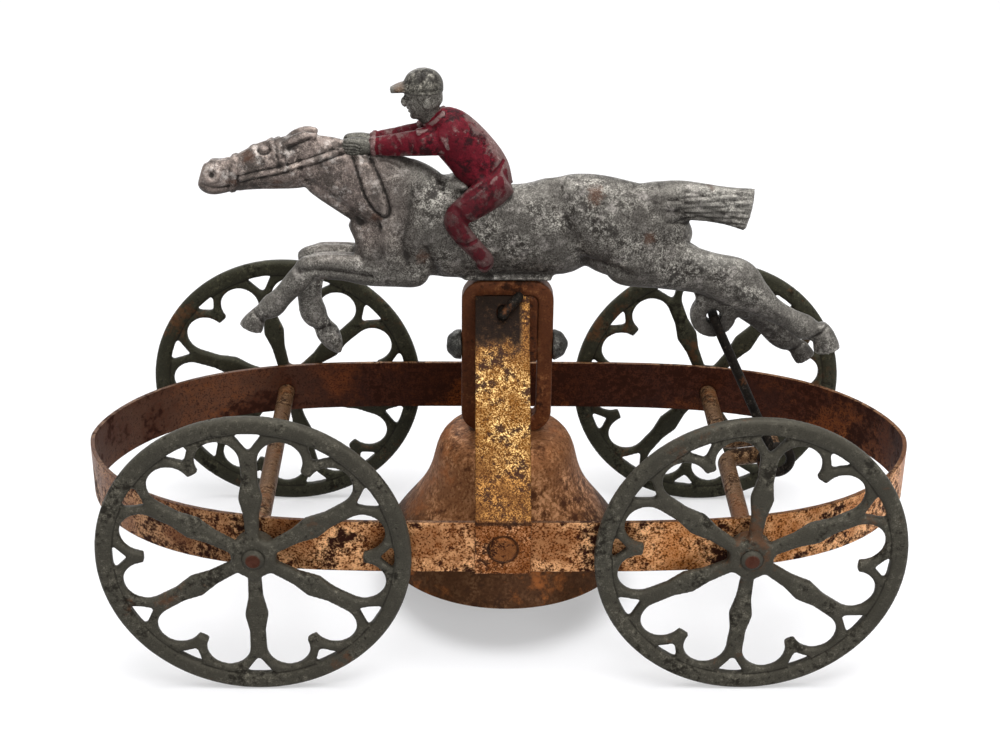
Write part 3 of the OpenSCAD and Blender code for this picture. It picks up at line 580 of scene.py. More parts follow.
# Pivot block: a white-metal casting inside the hanger's top that turns on the pivot wire.
# Its two pegs go through the hanger's legs and are hammered over into lumpy round heads.
def white_metal(name, base, light, dark, over=None, shine=0.42):
    """Bare dull casting metal: rubbed bright on what stands out, dirty in hollows and pits, with painted light on
    broad swells and upward faces and painted shade in broad hollows and underneath.
    """
    made, tree, surface = finish(name)
    coat = mottled(tree, base, light, dark, 120.0, (0.45, 0.37), 0.8)
    cast = use(tree, grain, Scale=1300.0, Pit_Share=0.34)
    blooms = use(tree, rust, Scale=45.0, Share=0.2)
    shade = tint(tree, blooms["Mask"], coat["Color"], blooms["Color"], 0.5)
    # The broad form gives a painted highlight on its swells and painted shade in its hollows.
    swell, broad_hollow_shade = span(tree, relief(tree, "form"), 0.5, 0.8), span(tree, relief(tree, "form"), 0.5, 0.2)
    proud = span(tree, plus(tree, relief(tree), times(tree, coat["Light Mask"], 0.15)), 0.6, 1.05)
    turned_up = leanings(tree)["Z"]
    # Painted light: broad swells and upward faces are lightened, as if lit from above.
    painted_light_above = plus(tree, times(tree, swell, 0.3), span(tree, turned_up, 0.15, 0.9, 0.0, 0.2))
    proud = most(tree, proud, painted_light_above)
    shade = tint(tree, times(tree, proud, shine), shade, "#b9b5ac")
    shade = over(tree, shade) if over else shade
    sunk = span(tree, less(tree, relief(tree), times(tree, coat["Dark Mask"], 0.1)), 0.45, 0.15)
    sunk = most(tree, sunk, times(tree, broad_hollow_shade, 0.6))
    scuffs = span(tree, noise(tree, 1100.0, 8, 0.78), 0.5, 0.36, 0.0, 0.6)
    # Painted shade: downward faces are darkened, together with the dirt and scuffs below.
    underside_shade = span(tree, turned_up, -0.1, -0.8, 0.0, 0.55)
    sunk = most(tree, most(tree, sunk, scuffs), underside_shade)
    shade = tint(tree, sunk, shade, "#221e1b", 0.9)
    cover(tree, surface, tint(tree, cast["Pits"], shade, "#332d29", 0.4),
          graded(tree, most(tree, sunk, blooms["Mask"]), 0.45, 0.1),
          graded(tree, most(tree, proud, coat["Light Mask"]), 0.5, 0.3),
          bump(tree, cast["Height"], 0.00034))
    return made


block_x, peg_from = 1.3, 11


def browned_middle(tree, shade):
    """The hanger's brown carried over the block's body, which leaves only the two peg heads grey."""
    from_middle = sums(tree, "ABSOLUTE", less(tree, places(tree)["X"], block_x * MM))
    brown = mottled(tree, "#5a311b", "#84532f", "#2a160c", 80.0, (0.3, 0.36), 0.3)
    return tint(tree, span(tree, from_middle, 0.0105, 0.0085), shade, brown["Color"])


def hammered(at, out):
    """Dents on the two peg heads."""
    dents = np.sin(1.9 * at[:, 0] + 0.4) * np.sin(1.7 * at[:, 1] + 1.1 * at[:, 2])
    return 0.12 * dents * (np.abs(at[:, 0] - block_x) > peg_from)


block_metal = white_metal("block_white_metal", "#2e2e2b", "#5f5e59", "#151412", browned_middle, 0.1)
block = recast("pivot_block", "pivot_block_casting", 0.28 * MM, 6)
shifted(block, hammered)
keep_relief(block, 10, 0.4)
stand_for(block, "rocker", "pivot_block", block_metal)


# Clapper ball: a lead ball cast on the end of the clapper wire.
# Grey, with a mould line and the dents of long use.
def ball_marks(at, out):
    """A mould line round the ball, and dents."""
    dents = np.maximum(0, np.sin(7 * out[:, 0] + 5 * out[:, 2]) - 0.7)
    return 0.12 * np.exp(-(out[:, 1] / 0.06) ** 2) - 0.15 * dents


ball_metal = white_metal("ball_lead", "#5b5a57", "#8b8984", "#2e2d2a")
ball = recast("clapper_ball", "clapper_ball_casting", 0.3 * MM, 3)
shifted(ball, ball_marks)
keep_relief(ball, 8, 0.4)
stand_for(ball, "clapper", "clapper_ball", ball_metal)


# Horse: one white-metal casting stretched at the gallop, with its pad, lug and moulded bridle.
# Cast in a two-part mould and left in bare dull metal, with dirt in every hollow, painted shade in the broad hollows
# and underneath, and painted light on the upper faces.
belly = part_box("hanger_loop")[1].z / MM + 0.8


def eased(path, steps):
    """A smooth run of stations through the given ones."""
    given = np.array(path, float)
    p = np.vstack([2 * given[0] - given[1], given, 2 * given[-1] - given[-2]])
    run = []
    for a, b, c, d in zip(p, p[1:], p[2:], p[3:]):
        for t in np.arange(steps) / steps:
            run.append(b + 0.5 * t * (c - a + t * (2 * a - 5 * b + 4 * c - d + t * (3 * b - a - 3 * c + d))))
    return np.array(run + [given[-1]])


def stations(path):
    """Places of x, y, z, half depth and half width. Those with four numbers lie on the middle plane."""
    return [p if len(p) == 5 else [p[0], 0, *p[1:]] for p in path]


def loft(path, move=(0, 0), sides=28, steps=6):
    """Points and faces of a closed form through stations."""
    run = eased(stations(path), steps)
    run[:, 3:] = np.maximum(run[:, 3:], 0.2)
    ahead = np.gradient(run[:, [0, 2]], axis=0)
    ahead /= np.linalg.norm(ahead, axis=1)[:, None]
    around = np.linspace(0, 2 * math.pi, sides, endpoint=False)
    points = []
    for (x, y, z, depth, width), (fx, fz) in zip(run, ahead):
        points += [(x + move[0] - fz * depth * math.cos(a), y + move[1] + width * math.sin(a),
                    z + fx * depth * math.cos(a)) for a in around]
    last = len(run) - 1
    faces = [(i * sides + k, i * sides + (k + 1) % sides, (i + 1) * sides + (k + 1) % sides, (i + 1) * sides + k)
             for i in range(last) for k in range(sides)]
    faces += [tuple(range(sides))[::-1], tuple(range(last * sides, (last + 1) * sides))]
    return points, faces


def both_sides(path, spread=0.0):
    mirrored = [[x, -y, z, depth, width] for x, y, z, depth, width in stations(path)]
    return [loft(path, (0, spread)), loft(mirrored, (0, -spread))]


def ball_form(x, y, z, rx, ry, rz):
    """An egg with its own half sizes along the three axes."""
    turns, rings = 20, 12
    points = [(x, y, z + rz)]
    for i in range(1, rings):
        tip = math.pi * i / rings
        points += [(x + rx * math.sin(tip) * math.cos(a), y + ry * math.sin(tip) * math.sin(a),
                    z + rz * math.cos(tip)) for a in np.linspace(0, 2 * math.pi, turns, endpoint=False)]
    points.append((x, y, z - rz))
    faces = [(0, 1 + k, 1 + (k + 1) % turns) for k in range(turns)]
    for i in range(rings - 2):
        row = 1 + i * turns
        faces += [(row + k, row + turns + k, row + turns + (k + 1) % turns, row + (k + 1) % turns)
                  for k in range(turns)]
    row = 1 + (rings - 2) * turns
    return points, faces + [(row + k, len(points) - 1, row + (k + 1) % turns) for k in range(turns)]


def cast_form(name, forms, skin, passes):
    """One casting from overlapping closed forms, whose heights are given from the belly line."""
    points, faces = [], []
    for more_points, more_faces in forms:
        start = len(points)
        points += [(x * MM, y * MM, (z + belly) * MM) for x, y, z in more_points]
        faces += [tuple(start + i for i in face) for face in more_faces]
    raw = bpy.data.meshes.new(name)
    raw.from_pydata(points, [], faces)
    piece = bpy.data.objects.new(name, raw)
    bpy.context.scene.collection.objects.link(piece)
    return settle(piece, skin * MM, passes)


def off_line(at, line, steps=5):
    """Distance of points from a smooth line, both in one flat view."""
    run = eased(line, steps) if len(line) > 2 else np.array(line, float)
    best = np.full(len(at), 1e9)
    for a, b in zip(run, run[1:]):
        along = np.clip((at - a) @ (b - a) / ((b - a) @ (b - a)), 0, 1)
        best = np.minimum(best, np.linalg.norm(at - a - along[:, None] * (b - a), axis=1))
    return best


def within(at, outline):
    """True for the points inside a closed outline."""
    inside = np.zeros(len(at), bool)
    for (x0, z0), (x1, z1) in zip(outline, outline[1:] + outline[:1]):
        crosses = (z0 > at[:, 1]) != (z1 > at[:, 1])
        inside ^= crosses & (at[:, 0] < (x1 - x0) * (at[:, 1] - z0) / (z1 - z0 + 1e-9) + x0)
    return inside


def moulded(lines, view=(0, 2), facing=1):
    """A change of shape from grooves, ridges and straps drawn on the side or the front of a form."""
    fade, edge_width, gutter = 0.3, 0.25, 0.35

    def change(at, out):
        at = at - np.array([0, 0, belly])
        total = np.zeros(len(at))
        for kind, line, width, depth, *side in lines:
            turned = out[:, facing] * side[0] if side else np.abs(out[:, facing])
            shown = np.clip((turned - 0.05) / fade, 0, 1)
            far = off_line(at[:, view], line)
            if kind == "strap":
                swell = depth * np.clip((width - far) / edge_width + 0.5, 0, 1)
                swell = swell - 0.7 * depth * np.exp(-((far - width - gutter) / fade) ** 2)
            else:
                swell = (depth if kind == "ridge" else -depth) * np.exp(-(far / width) ** 2)
            total += shown * swell
        return total
    return change


barrel = [[-34.4, 13.6, 1.6, 2.2], [-31.4, 11.4, 4.2, 4], [-27, 9, 10.2, 5.6], [-18.5, 12.4, 12.5, 6.6],
          [-9.5, 11, 11.4, 7], [4, 11.5, 10.6, 7], [12, 12.2, 11.8, 6.8], [19, 13.8, 10.9, 6.6],
          [28, 11.2, 11.6, 6.8], [35.5, 9.3, 11, 6.2], [39, 8.2, 6.6, 4.8], [40.8, 6.6, 3.4, 2.8]]
neck = [[-12, 15.5, 6.5, 5], [-20, 17.8, 9.4, 5.4], [-28, 20.6, 9.5, 4.6], [-36, 24.3, 8.2, 3.9],
        [-42, 27, 6.8, 3.5], [-46, 27.6, 5.2, 3.2]]
head = [[-42.5, 27.6, 5.6, 3.2], [-47.5, 27.2, 6.2, 3.5], [-53, 26.4, 5.7, 3.4], [-57.5, 25.2, 4.6, 3],
        [-62, 24, 3.9, 2.6], [-66, 23.7, 4.2, 2.8], [-68.2, 24.3, 2.6, 1.9]]
ear = [[-49, 1.6, 30.6, 1.4, 1.2], [-46.6, 1.8, 32.2, 2, 1.4], [-44, 1.9, 33.4, 1.8, 1.2], [-41.6, 2, 34.3, 0.6, 0.5]]
tail = [[30, 15, 7, 5.4], [36, 17.2, 6, 4.8], [41, 18.5, 4.7, 3.5], [50, 17.4, 4.5, 2.8], [56.3, 16.3, 5.2, 2.9]]
near_hind_leg = [[23, 10, 4, 2.4], [29, 7.6, 8.6, 3.4], [38, 4.4, 6.4, 3.5], [46.2, 2.2, 5.3, 3.2],
                 [53.4, -0.3, 6.1, 2.8], [58, -3.6, 4.4, 2.5], [62.4, -6.8, 3, 2.1], [67, -9.4, 2.6, 2],
                 [70.4, -11.4, 3.1, 2.2], [73.2, -12.8, 2.3, 2], [74.4, -13.6, 1.6, 1.6]]
far_hind_leg = [[23, 10, 4, 2.4], [29, 7.6, 8.6, 3.4], [38, 3.4, 6.2, 3.3], [46, -0.6, 5, 2.8],
                [52.5, -4.6, 4, 2.5], [57.5, -9, 3.4, 2.2], [62.5, -13, 3, 2], [66.6, -17, 3, 2],
                [69.6, -19, 2.2, 1.8], [71.2, -20.4, 1.6, 1.5]]
forearm = [[-17.4, 5, 3, 2], [-20, 4.2, 5.8, 3], [-24.5, 3.4, 5.3, 3.2], [-30.5, 2.2, 3.7, 2.9],
           [-36, 3, 3.3, 2.7], [-41.5, 3.2, 3.1, 2.6], [-45.4, 2.5, 2.8, 2.4], [-47, 1.9, 1.6, 1.4]]
reaching_leg = [[-43.5, 3.6, 3, 2.4], [-47.2, -0.4, 2.8, 2.3], [-50.6, -4.2, 2.5, 2],
                [-53.2, -6.8, 2.9, 2.2], [-55.6, -8.4, 2, 1.8], [-56.8, -9.4, 1.4, 1.4]]
folded_leg = [[-43.5, 3, 3.4, 2.4], [-45, -2.6, 3.4, 2.3], [-45, -7.2, 2.9, 2], [-44.2, -11.2, 3.2, 2.1],
              [-42.6, -13.8, 2.3, 1.8], [-41.6, -15.4, 1.6, 1.6]]
near_hind_hoof = [[74, -10.8, 1.6, 1.8], [75, -13, 2.5, 2.2], [76, -15.8, 3, 2.5], [76.4, -17.4, 3.2, 2.6]]
far_hind_hoof = [[70.4, -19, 2, 1.8], [71.6, -20.8, 2.5, 2.1], [73, -22.8, 2.6, 2.2]]
reaching_hoof = [[-55.6, -7.8, 1.6, 1.7], [-56.8, -9.6, 2.2, 2.1], [-57.9, -11.4, 2.7, 2.3], [-58.4, -12.5, 2.9, 2.4]]
folded_hoof = [[-42.4, -13.8, 2.2, 1.8], [-41, -16.4, 2.8, 2.3], [-39.5, -19.2, 2.1, 2.1], [-38.2, -21.2, 0.7, 1.4]]
saddle = [[-14, 22, 1.6, 2.6], [-11, 22.6, 2, 3.6], [-8, 22.2, 1.6, 3.6]]
pad = [[-8.4, -0.1, 0.6, 3.2], [-8, 0.2, 0.9, 3.4], [1.3, 0.3, 1, 3.4], [10.4, 0.2, 0.9, 3.4], [10.8, -0.1, 0.6, 3.2]]

# The lug under the hind leg is a flat eye that the connecting rod hooks into.
lug_at, lug_r, lug_hole, lug_faces = (49.7, -10.5), 5.4, 1.65, (0.0, 3.0)
ring = np.linspace(0, 2 * math.pi, 40, endpoint=False)
lug_rims = [(lug_faces[0], lug_hole), (lug_faces[0], lug_r), (lug_faces[1], lug_r), (lug_faces[1], lug_hole)]
lug_points = [(lug_at[0] + r * math.cos(a), y, lug_at[1] + r * math.sin(a)) for y, r in lug_rims for a in ring]
turns = len(ring)
lug = (lug_points, [(i * turns + k, i * turns + (k + 1) % turns, j * turns + (k + 1) % turns, j * turns + k)
                    for i, j in ((0, 1), (1, 2), (2, 3), (3, 0)) for k in range(turns)])
lug_web = [[45.6, 1.5, -6.8, 1.6, 1.4], [48.6, 1.5, -5.8, 2.6, 1.4], [53, 1.5, -6.6, 2.6, 1.4],
           [56.6, 1.5, -9.6, 1.9, 1.4], [58.4, 1.5, -10.6, 1, 1]]

hind_spread = 3.4
front_spread = hind_spread - 0.4
horse_forms = [loft(path) for path in (barrel, neck, head, tail, saddle, pad, lug_web)]
horse_forms += both_sides(ear) + both_sides(forearm, front_spread) + [lug]
for leg, hoof, side in ((near_hind_leg, near_hind_hoof, -hind_spread), (far_hind_leg, far_hind_hoof, hind_spread),
                        (reaching_leg, reaching_hoof, -front_spread), (folded_leg, folded_hoof, front_spread)):
    horse_forms += [loft(leg, (0, side)), loft(hoof, (0, side))]
horse = cast_form("horse_casting", horse_forms, 0.4, 9)

rein = [(-58.8, 24.1), (-55.2, 25.2), (-48.6, 26.8), (-42, 28.9), (-35.6, 31.2)]
rein_end = [(-33.8, 30.6), (-32.4, 25.8), (-30.9, 20.6), (-28.9, 17.3), (-27, 16.1), (-25.8, 16.9), (-26.1, 19.9),
            (-28, 25.1), (-30.2, 29.8)]
horse_lines = [
    ("groove", [(-67.8, 22.4), (-64.2, 21.6), (-61.4, 22.2)], 0.4, 0.5),
    ("groove", [(-53.5, 22.4), (-50, 21.8), (-47, 23), (-45.4, 25.6), (-45.8, 29)], 0.9, 0.45),
    ("ridge", [(-56.5, 31), (-54, 32.6), (-51.8, 32.2)], 0.6, 0.4),
    ("ridge", [(-65, 27), (-58, 28.4)], 0.9, 0.25),
    ("strap", rein, 0.5, 0.42),
    ("strap", [(-60.4, 30), (-60.4, 26.2), (-61, 20.5)], 0.6, 0.25),
    ("strap", [(-51, 34.6), (-50.3, 31.9), (-49.6, 29.4), (-48.8, 26.8)], 0.5, 0.25),
    ("groove", rein_end, 0.5, 0.65),
    ("groove", [(-20.5, 22), (-21.9, 14), (-22.5, 9.5), (-21.6, 5)], 1.4, 0.8),
    ("ridge", [(-25.5, 20), (-26.4, 12), (-24.5, 7)], 2.2, 0.25),
    ("groove", [(-30.4, 12), (-28.7, 6.8), (-25.6, 3.2), (-20.4, 2.6)], 1.2, 0.3),
    ("groove", [(-44, 23.6), (-38, 19.5), (-32.6, 14)], 1.1, 0.6),
    ("groove", [(-17.5, 9), (-16, 5), (-15, 1.6)], 1.1, 0.65),
    ("groove", [(11.7, 22.6), (14.3, 15.9), (16.7, 8.3), (18.4, 4)], 1.9, 0.85),
    ("groove", [(18.9, 5.2), (23.2, 4.6), (28.6, 3)], 1.2, 0.65),
    ("groove", [(35.4, 12), (37.8, 7.4), (43, 2)], 1.7, 0.35),
    ("ridge", [(24, 19), (26.5, 12), (31, 5.5)], 3.0, 0.4),
    ("groove", [(42.6, 5.2), (46.3, 2), (51, 1.2)], 1.1, 0.3),
    ("ridge", [(51.5, 0.8), (54.2, -0.4), (56.4, -2.8)], 1.0, 0.4),
    ("groove", [(46, -3.6), (52, -6.4), (59, -9.4)], 0.9, 0.35, -1),
    ("ridge", [(-42, 5.6), (-36, 5.8), (-30, 6.6)], 1.2, 0.35),
    ("groove", [(-46.5, 2.6), (-42, 3.2), (-36, 2.6), (-30, 1.8)], 0.8, 0.6, -1),
    ("groove", [(-54.2, -11.6), (-57.8, -7.2)], 0.5, 0.5, -1),
    ("groove", [(-44.6, -15.2), (-39, -13.4)], 0.5, 0.5),
    ("groove", [(71.6, -14.2), (76.2, -10.6)], 0.5, 0.5, -1),
    ("groove", [(68.4, -20.8), (72.6, -17.8)], 0.5, 0.5),
    ("ridge", [(53, -5.2), (58, -9.4), (63, -13.2), (68, -17)], 0.6, 0.4, -1),
    ("ridge", [(57, -1.6), (62, -5.8), (67, -8.8)], 0.7, 0.25, -1),
    ("groove", [(-14.2, 24), (-12.8, 21.4), (-9.6, 20.2), (-4, 20)], 0.6, 0.4),
    ("groove", [(-47.8, 31.4), (-45.4, 32.4), (-43.2, 33.3)], 0.75, 0.8)]
for k in range(9):
    strand, off_middle = [], (k - 4) * 0.98
    for x in np.linspace(37 + 2 * (k % 3), 57, 9):
        middle, wave = 18.6 - 0.11 * (x - 33), 0.3 * math.sin(0.55 * x + 2.1 * k)
        strand.append((x, middle + off_middle * (0.8 + 0.012 * (x - 33)) + wave))
    horse_lines.append(("groove", strand, 0.32, 0.4))
for k in range(4):
    lock = [(x, 34.2 - 0.24 * (x + 42) - 1.0 * k + 0.3 * math.sin(0.8 * x + 1.7 * k))
            for x in np.linspace(-41 + k, -19 - 2 * k, 8)]
    horse_lines.append(("groove", lock, 0.35, 0.3))
horse_moulds = moulded(horse_lines)


def horse_features(at, out):
    """The bridle and the muscles, then the nostrils, the eyes and the loose end of the rein."""
    total = horse_moulds(at, out)
    flat = at[:, [0, 2]] - np.array([0, belly])
    shown = np.clip((np.abs(out[:, 1]) - 0.1) / 0.3, 0, 1)
    nose = np.linalg.norm(flat - (-65.4, 24.9), axis=1)
    total += shown * (0.4 * np.exp(-((nose - 1.35) / 0.4) ** 2) - 0.6 * np.exp(-(nose / 0.7) ** 2))
    eye = np.linalg.norm((flat - (-53.6, 31)) * (0.8, 1.1), axis=1)
    total += shown * (0.4 * np.exp(-(eye / 0.6) ** 2) - 0.55 * np.exp(-((eye - 1.1) / 0.45) ** 2))
    return total + shown * 0.5 * within(flat, rein_end)


shifted(horse, horse_features)
keep_relief(horse, 16, 0.75)
rust_spots = [(-57, 29.4, 1.5), (-60.6, 23.3, 1.3), (-50.8, 22.7, 1.6), (-28.8, 15.7, 1.5), (-18.3, 6.7, 1.8),
              (-40.9, 0, 1.3), (20.5, 21.3, 2.2), (47.1, 22.5, 1.0), (33, 12, 1.6)]


def horse_stains(tree, shade):
    """Dull patches and gleams, most on the warmer neck and head, rust where the metal was knocked, and a painted
    shadow on the far hind leg behind the near one.
    """
    at = places(tree)
    ahead = times(tree, span(tree, at["X"], -0.016, -0.036), span(tree, at["Z"], 0.088, 0.098))
    warmed = put(tree, "Mix", {0: ahead, 6: shade, 7: "#fff0eb"}, data_type="RGBA", blend_type="MULTIPLY")
    shade = tint(tree, ahead, warmed.outputs[2], "#d8c3bc", 0.14)
    at_tail = times(tree, span(tree, at["X"], 0.04, 0.045), span(tree, at["Z"], 0.088, 0.091))
    shade = tint(tree, at_tail, shade, "#d2cfc6", 0.1)
    turned_up = leanings(tree)["Z"]
    croup = times(tree, span(tree, at["X"], 0.008, 0.016), span(tree, at["X"], 0.042, 0.034))
    croup = times(tree, croup, span(tree, turned_up, 0.1, 0.5))
    flecks = span(tree, noise(tree, 380.0, 6, 0.72), 0.48, 0.58, 0.1, 0.75)
    dull = span(tree, noise(tree, 150.0, 9, 0.75), 0.46, 0.58, 0.0, 0.75)
    gleam = span(tree, noise(tree, 260.0, 9, 0.8), 0.52, 0.66, 0.0, 0.6)
    aged = most(tree, ahead, 0.45)
    dull = times(tree, dull, aged)
    gleam = times(tree, gleam, aged)
    darker = most(tree, times(tree, croup, flecks), dull)
    shade = tint(tree, gleam, tint(tree, darker, shade, "#302c29"), "#d8d0c9")
    ragged = times(tree, less(tree, noise(tree, 700.0, 6, 0.7), 0.5), 0.005)
    stain = 0.0
    for x, z, size in rust_spots:
        off_spot = measure(tree, "DISTANCE", side_view(tree), (x * MM, 0, (z + belly) * MM))
        spot = span(tree, plus(tree, off_spot, ragged), size * 1.2 * MM, size * 0.3 * MM)
        stain = most(tree, stain, spot)
    shade = tint(tree, stain, shade, "#4f2f1d", 0.55)
    # Painted shadow: the far hind leg is darkened where the near one shades it.
    behind = times(tree, span(tree, at["X"], 0.043, 0.05), span(tree, at["Z"], 0.084, 0.08))
    far_leg_shadow = times(tree, behind, span(tree, at["Y"], -0.0016, 0.0004))
    return tint(tree, far_leg_shadow, shade, "#2f2a27", 0.55)


horse_metal = white_metal("horse_white_metal", "#57534e", "#aca89f", "#26221f", horse_stains, 0.34)
stand_for(horse, "rocker", "horse_and_jockey", horse_metal)

# Jockey's clothes: cast with the horse and painted crimson over the bare metal, coat,
# breeches and boots alike. The paint is worn off what stands out and dark in the folds.
torso = [[-1.5, 21, 4.2, 4.4], [-4.2, 25.2, 5.8, 5.2], [-8.1, 30.4, 5.9, 5.2], [-12.3, 34.9, 5.4, 5.4],
         [-14.9, 37.6, 3.8, 3.4], [-15.9, 38.8, 2.6, 2.4]]
arm = [[-12.5, 3.6, 33.6, 3.2, 2.6], [-18, 2.8, 33, 3.1, 2.4], [-24, 2.2, 32.2, 2.6, 2.1], [-30, 1.8, 31.7, 2, 1.7]]
rider_leg = [[0.8, 3.2, 24.4, 3.2, 2.4], [-2.5, 4.8, 22.6, 4, 2.6], [-7, 6.4, 19.6, 3.5, 2.2],
             [-10.8, 7.2, 16.6, 2.7, 1.9],
             [-9.4, 7.4, 13, 2.4, 1.7], [-6, 7.2, 9, 2.1, 1.6], [-4, 7, 6.2, 2, 1.6], [-5.2, 6.8, 4.2, 1.3, 1.3]]
clothes = cast_form("jockey_clothes", [loft(torso)] + both_sides(arm) + both_sides(rider_leg), 0.32, 7)
shifted(clothes, moulded([
    ("groove", [(-9, 21.4), (-4.6, 24.6), (-0.2, 28.6)], 0.45, 0.35),
    ("strap", [(-19, 35.6), (-16.4, 37), (-13.6, 39.4)], 0.5, 0.3),
    ("groove", [(-12.6, 31.4), (-14.6, 34), (-15.4, 36.4)], 0.6, 0.35),
    ("groove", [(-20.6, 35.6), (-19.4, 33.4), (-19.8, 31)], 0.45, 0.3),
    ("groove", [(-24.4, 34.2), (-23.2, 32.4), (-23.6, 30.2)], 0.4, 0.25),
    ("strap", [(-29, 34), (-29.2, 31.8), (-29, 29.4)], 0.5, 0.25),
    ("groove", [(-10.6, 19.2), (-8.6, 16.6), (-7, 15.4)], 0.6, 0.4),
    ("groove", [(-10.6, 11.4), (-8, 11), (-5.4, 12.4)], 0.4, 0.3),
    ("groove", [(-7, 5.4), (-4.6, 5), (-2.4, 5.8)], 0.35, 0.3),
    ("groove", [(-6, 28), (-3.4, 24), (-3, 21)], 0.7, 0.3)]))
keep_relief(clothes, 12, 0.7)
crimson, tree, surface = finish("jockey_crimson")
coat = mottled(tree, "#641220", "#7f1e2c", "#26060b", 110.0, (0.28, 0.4), 0.3)
bare = mottled(tree, "#836a67", "#c2aba7", "#332826", 170.0, speckle=0.5)
low_down = span(tree, places(tree)["Z"], 0.1125, 0.105)
cast = use(tree, grain, Scale=1150.0, Pit_Share=0.5)
chips = noise(tree, 330.0, 7, 0.72)
# The back-facing side shows more bare metal: partly wear, partly a painted highlight.
back_facing_sheen = leanings(tree)["X"]
exposed_and_lit = plus(tree, relief(tree), times(tree, relief(tree, "form"), 0.5))
exposed_and_lit = plus(tree, exposed_and_lit, span(tree, back_facing_sheen, 0.3, 0.8, 0.0, 0.28))
rubbed = span(tree, plus(tree, exposed_and_lit, chips), 1.44, 1.62)
shade = tint(tree, rubbed, coat["Color"], bare["Color"], 0.85)
shade = tint(tree, low_down, shade, "#331517", 0.5)
sunk = span(tree, relief(tree), 0.44, 0.14)
shade = tint(tree, sunk, shade, "#2a0d10", 0.7)
cover(tree, surface, tint(tree, cast["Pits"], shade, "#331316", 0.5),
      graded(tree, rubbed, 0.0, 0.4),
      span(tree, chips, 0.3, 0.7, 0.5, 0.7),
      bump(tree, less(tree, cast["Height"], times(tree, rubbed, 0.3)), 0.00022))
stand_for(clothes, "rocker", "horse_and_jockey", crimson)

# Jockey's head and hands: bare metal, cast in one with the rest. The face is a plain calm one
# on even proportions, and the two fists close on the rein.
skull = [[-15.8, 36.8, 1.9, 1.9], [-16.8, 38.6, 2.7, 2.3], [-17.5, 40.2, 3.7, 3], [-17.8, 42, 4.2, 3.4],
         [-18, 44.4, 4, 3.5], [-18.1, 46, 2.6, 2.4]]
nose = [[-21.2, 43.4, 0.7, 0.45], [-21.6, 42.3, 0.9, 0.55], [-22.1, 41.4, 0.9, 0.75], [-21.5, 40.8, 0.7, 0.5]]
jaw, chin = ball_form(-18.1, 0, 39.3, 3.1, 2.5, 2), ball_form(-20, 0, 38.4, 1, 1.2, 0.9)
ears = [ball_form(-17.1, s * 3.35, 41.9, 0.95, 0.55, 1.35) for s in (-1, 1)]
face = cast_form("jockey_face", [loft(skull), loft(nose), jaw, chin] + ears, 0.14, 6)
eyes = [(s * 1.3, 42.75) for s in (-1, 1)]
brows = [("ridge", [(s * 0.5, 43.5), (s * 1.4, 43.8), (s * 2.3, 43.4)], 0.3, 0.24, -1) for s in (-1, 1)]
face_moulds = moulded([
    ("groove", [(-1.15, 39.86), (0, 39.76), (1.15, 39.86)], 0.17, 0.2, -1),
    ("ridge", [(-0.9, 40.16), (0, 40.2), (0.9, 40.16)], 0.24, 0.16, -1),
    ("ridge", [(-0.75, 39.42), (0, 39.36), (0.75, 39.42)], 0.26, 0.2, -1),
    ("groove", [(-0.8, 38.98), (0, 38.94), (0.8, 38.98)], 0.25, 0.16, -1)] + brows, view=(1, 2), facing=0)


def face_features(at, out):
    """Mouth and brows, then the sunk eyes with their lids."""
    total = face_moulds(at, out)
    front = np.clip((-out[:, 0] - 0.05) / 0.3, 0, 1) * (at[:, 0] < -18.5)
    for eye in eyes:
        near = np.linalg.norm((at[:, [1, 2]] - (eye[0], eye[1] + belly)) * (0.8, 1.15), axis=1)
        total += front * (0.3 * np.exp(-(near / 0.3) ** 2) - 0.3 * np.exp(-((near - 0.55) / 0.28) ** 2))
    return total


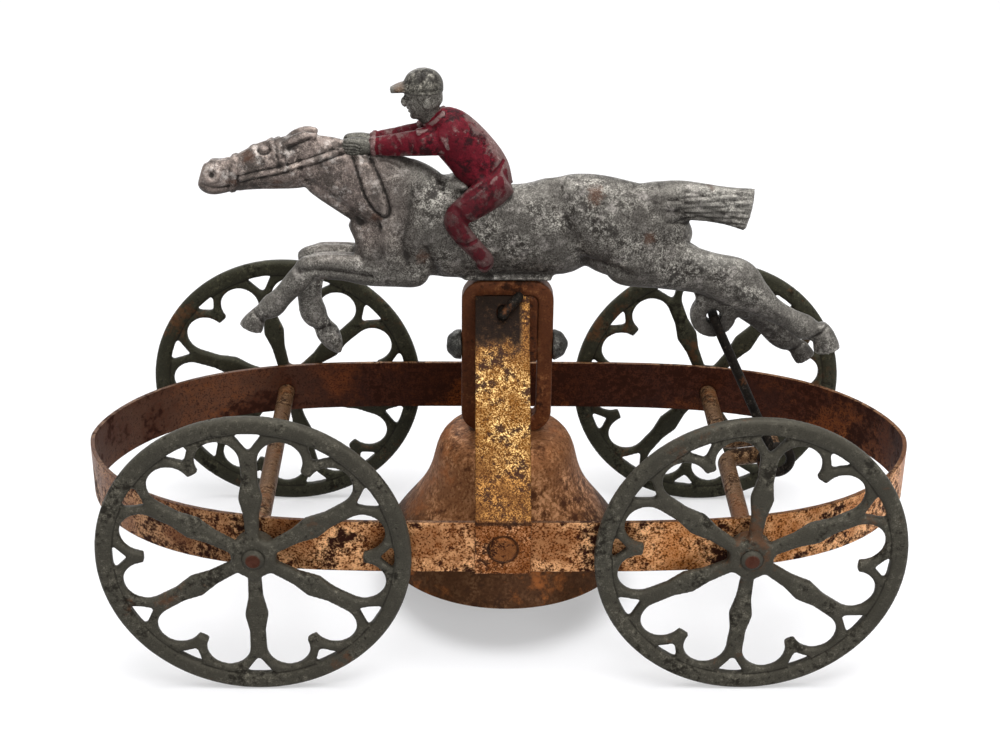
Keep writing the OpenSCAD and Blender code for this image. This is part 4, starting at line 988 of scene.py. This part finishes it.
shifted(face, face_features)
keep_relief(face, 12, 0.4)
fist = [[-29.5, 1.8, 31.7, 1.6, 1.4], [-32, 1.7, 31.6, 2.1, 1.7], [-35, 1.6, 31.5, 1.9, 1.5],
        [-36, 1.5, 31.4, 0.8, 0.7]]
hands = cast_form("jockey_hands", both_sides(fist), 0.2, 5)
fingers = [[(-35.6, 32.6 - 0.75 * k), (-33.4, 32.7 - 0.75 * k), (-32, 32.2 - 0.7 * k)] for k in range(4)]
shifted(hands, moulded([("groove", line, 0.2, 0.28) for line in fingers]))
keep_relief(hands, 10, 0.4)
skin_metal = white_metal("face_white_metal", "#6b6760", "#aca89f", "#322e2a", None, 0.3)
glove_metal = white_metal("fist_white_metal", "#4b4942", "#86837a", "#23211d", None, 0.2)
for piece, metal in ((face, skin_metal), (hands, glove_metal)):
    stand_for(piece, "rocker", "horse_and_jockey", metal)

# Cap: a round riding cap with a short peak, cast with the head.
# The metal is darker here, blackened round the crown, with rust on the peak.
crown = [[-18.1, 43.9, 4.6, 4], [-18.1, 45, 4.6, 4.05], [-18.1, 46.2, 4.4, 3.8], [-18.3, 48, 3.2, 2.7],
         [-18.4, 49, 1.2, 1.1]]
peak = [[-19.6, 45.2, 1.2, 3.3], [-23, 44.7, 0.9, 3], [-25.2, 44.1, 0.6, 1.7]]
cap = cast_form("jockey_cap", [loft(crown), loft(peak), ball_form(-18.4, 0, 48.7, 0.7, 0.7, 0.35)], 0.22, 5)
seams = [[(-18.4, 49), (-18.3 + s, 47.4), (-18.1 + 1.5 * s, 45.2)] for s in (-2.2, 0, 2.2)]
shifted(cap, moulded([("groove", [(-23, 44.9), (-18, 44.9), (-13, 44.9)], 0.25, 0.22)] +
                     [("groove", seam, 0.22, 0.16) for seam in seams]))
keep_relief(cap, 12, 0.5)


def cap_stains(tree, shade):
    """Rust on the peak and black blotches high on the crown."""
    at = places(tree)
    blotch = noise(tree, 420.0, 3, 0.5)
    crown_black = times(tree, span(tree, blotch, 0.5, 0.6), span(tree, at["Z"], 0.1305, 0.1315))
    shade = tint(tree, crown_black, shade, "#1f1c1a", 0.8)
    peak_rust = times(tree, span(tree, at["X"], -0.0215, -0.023), span(tree, at["X"], -0.0252, -0.024))
    peak_rust = times(tree, peak_rust, span(tree, blotch, 0.4, 0.55))
    return tint(tree, peak_rust, shade, "#5f4229", 0.55)


cap_metal = white_metal("cap_metal", "#47443d", "#827e74", "#22201c", cap_stains, 0.25)
stand_for(cap, "rocker", "horse_and_jockey", cap_metal)
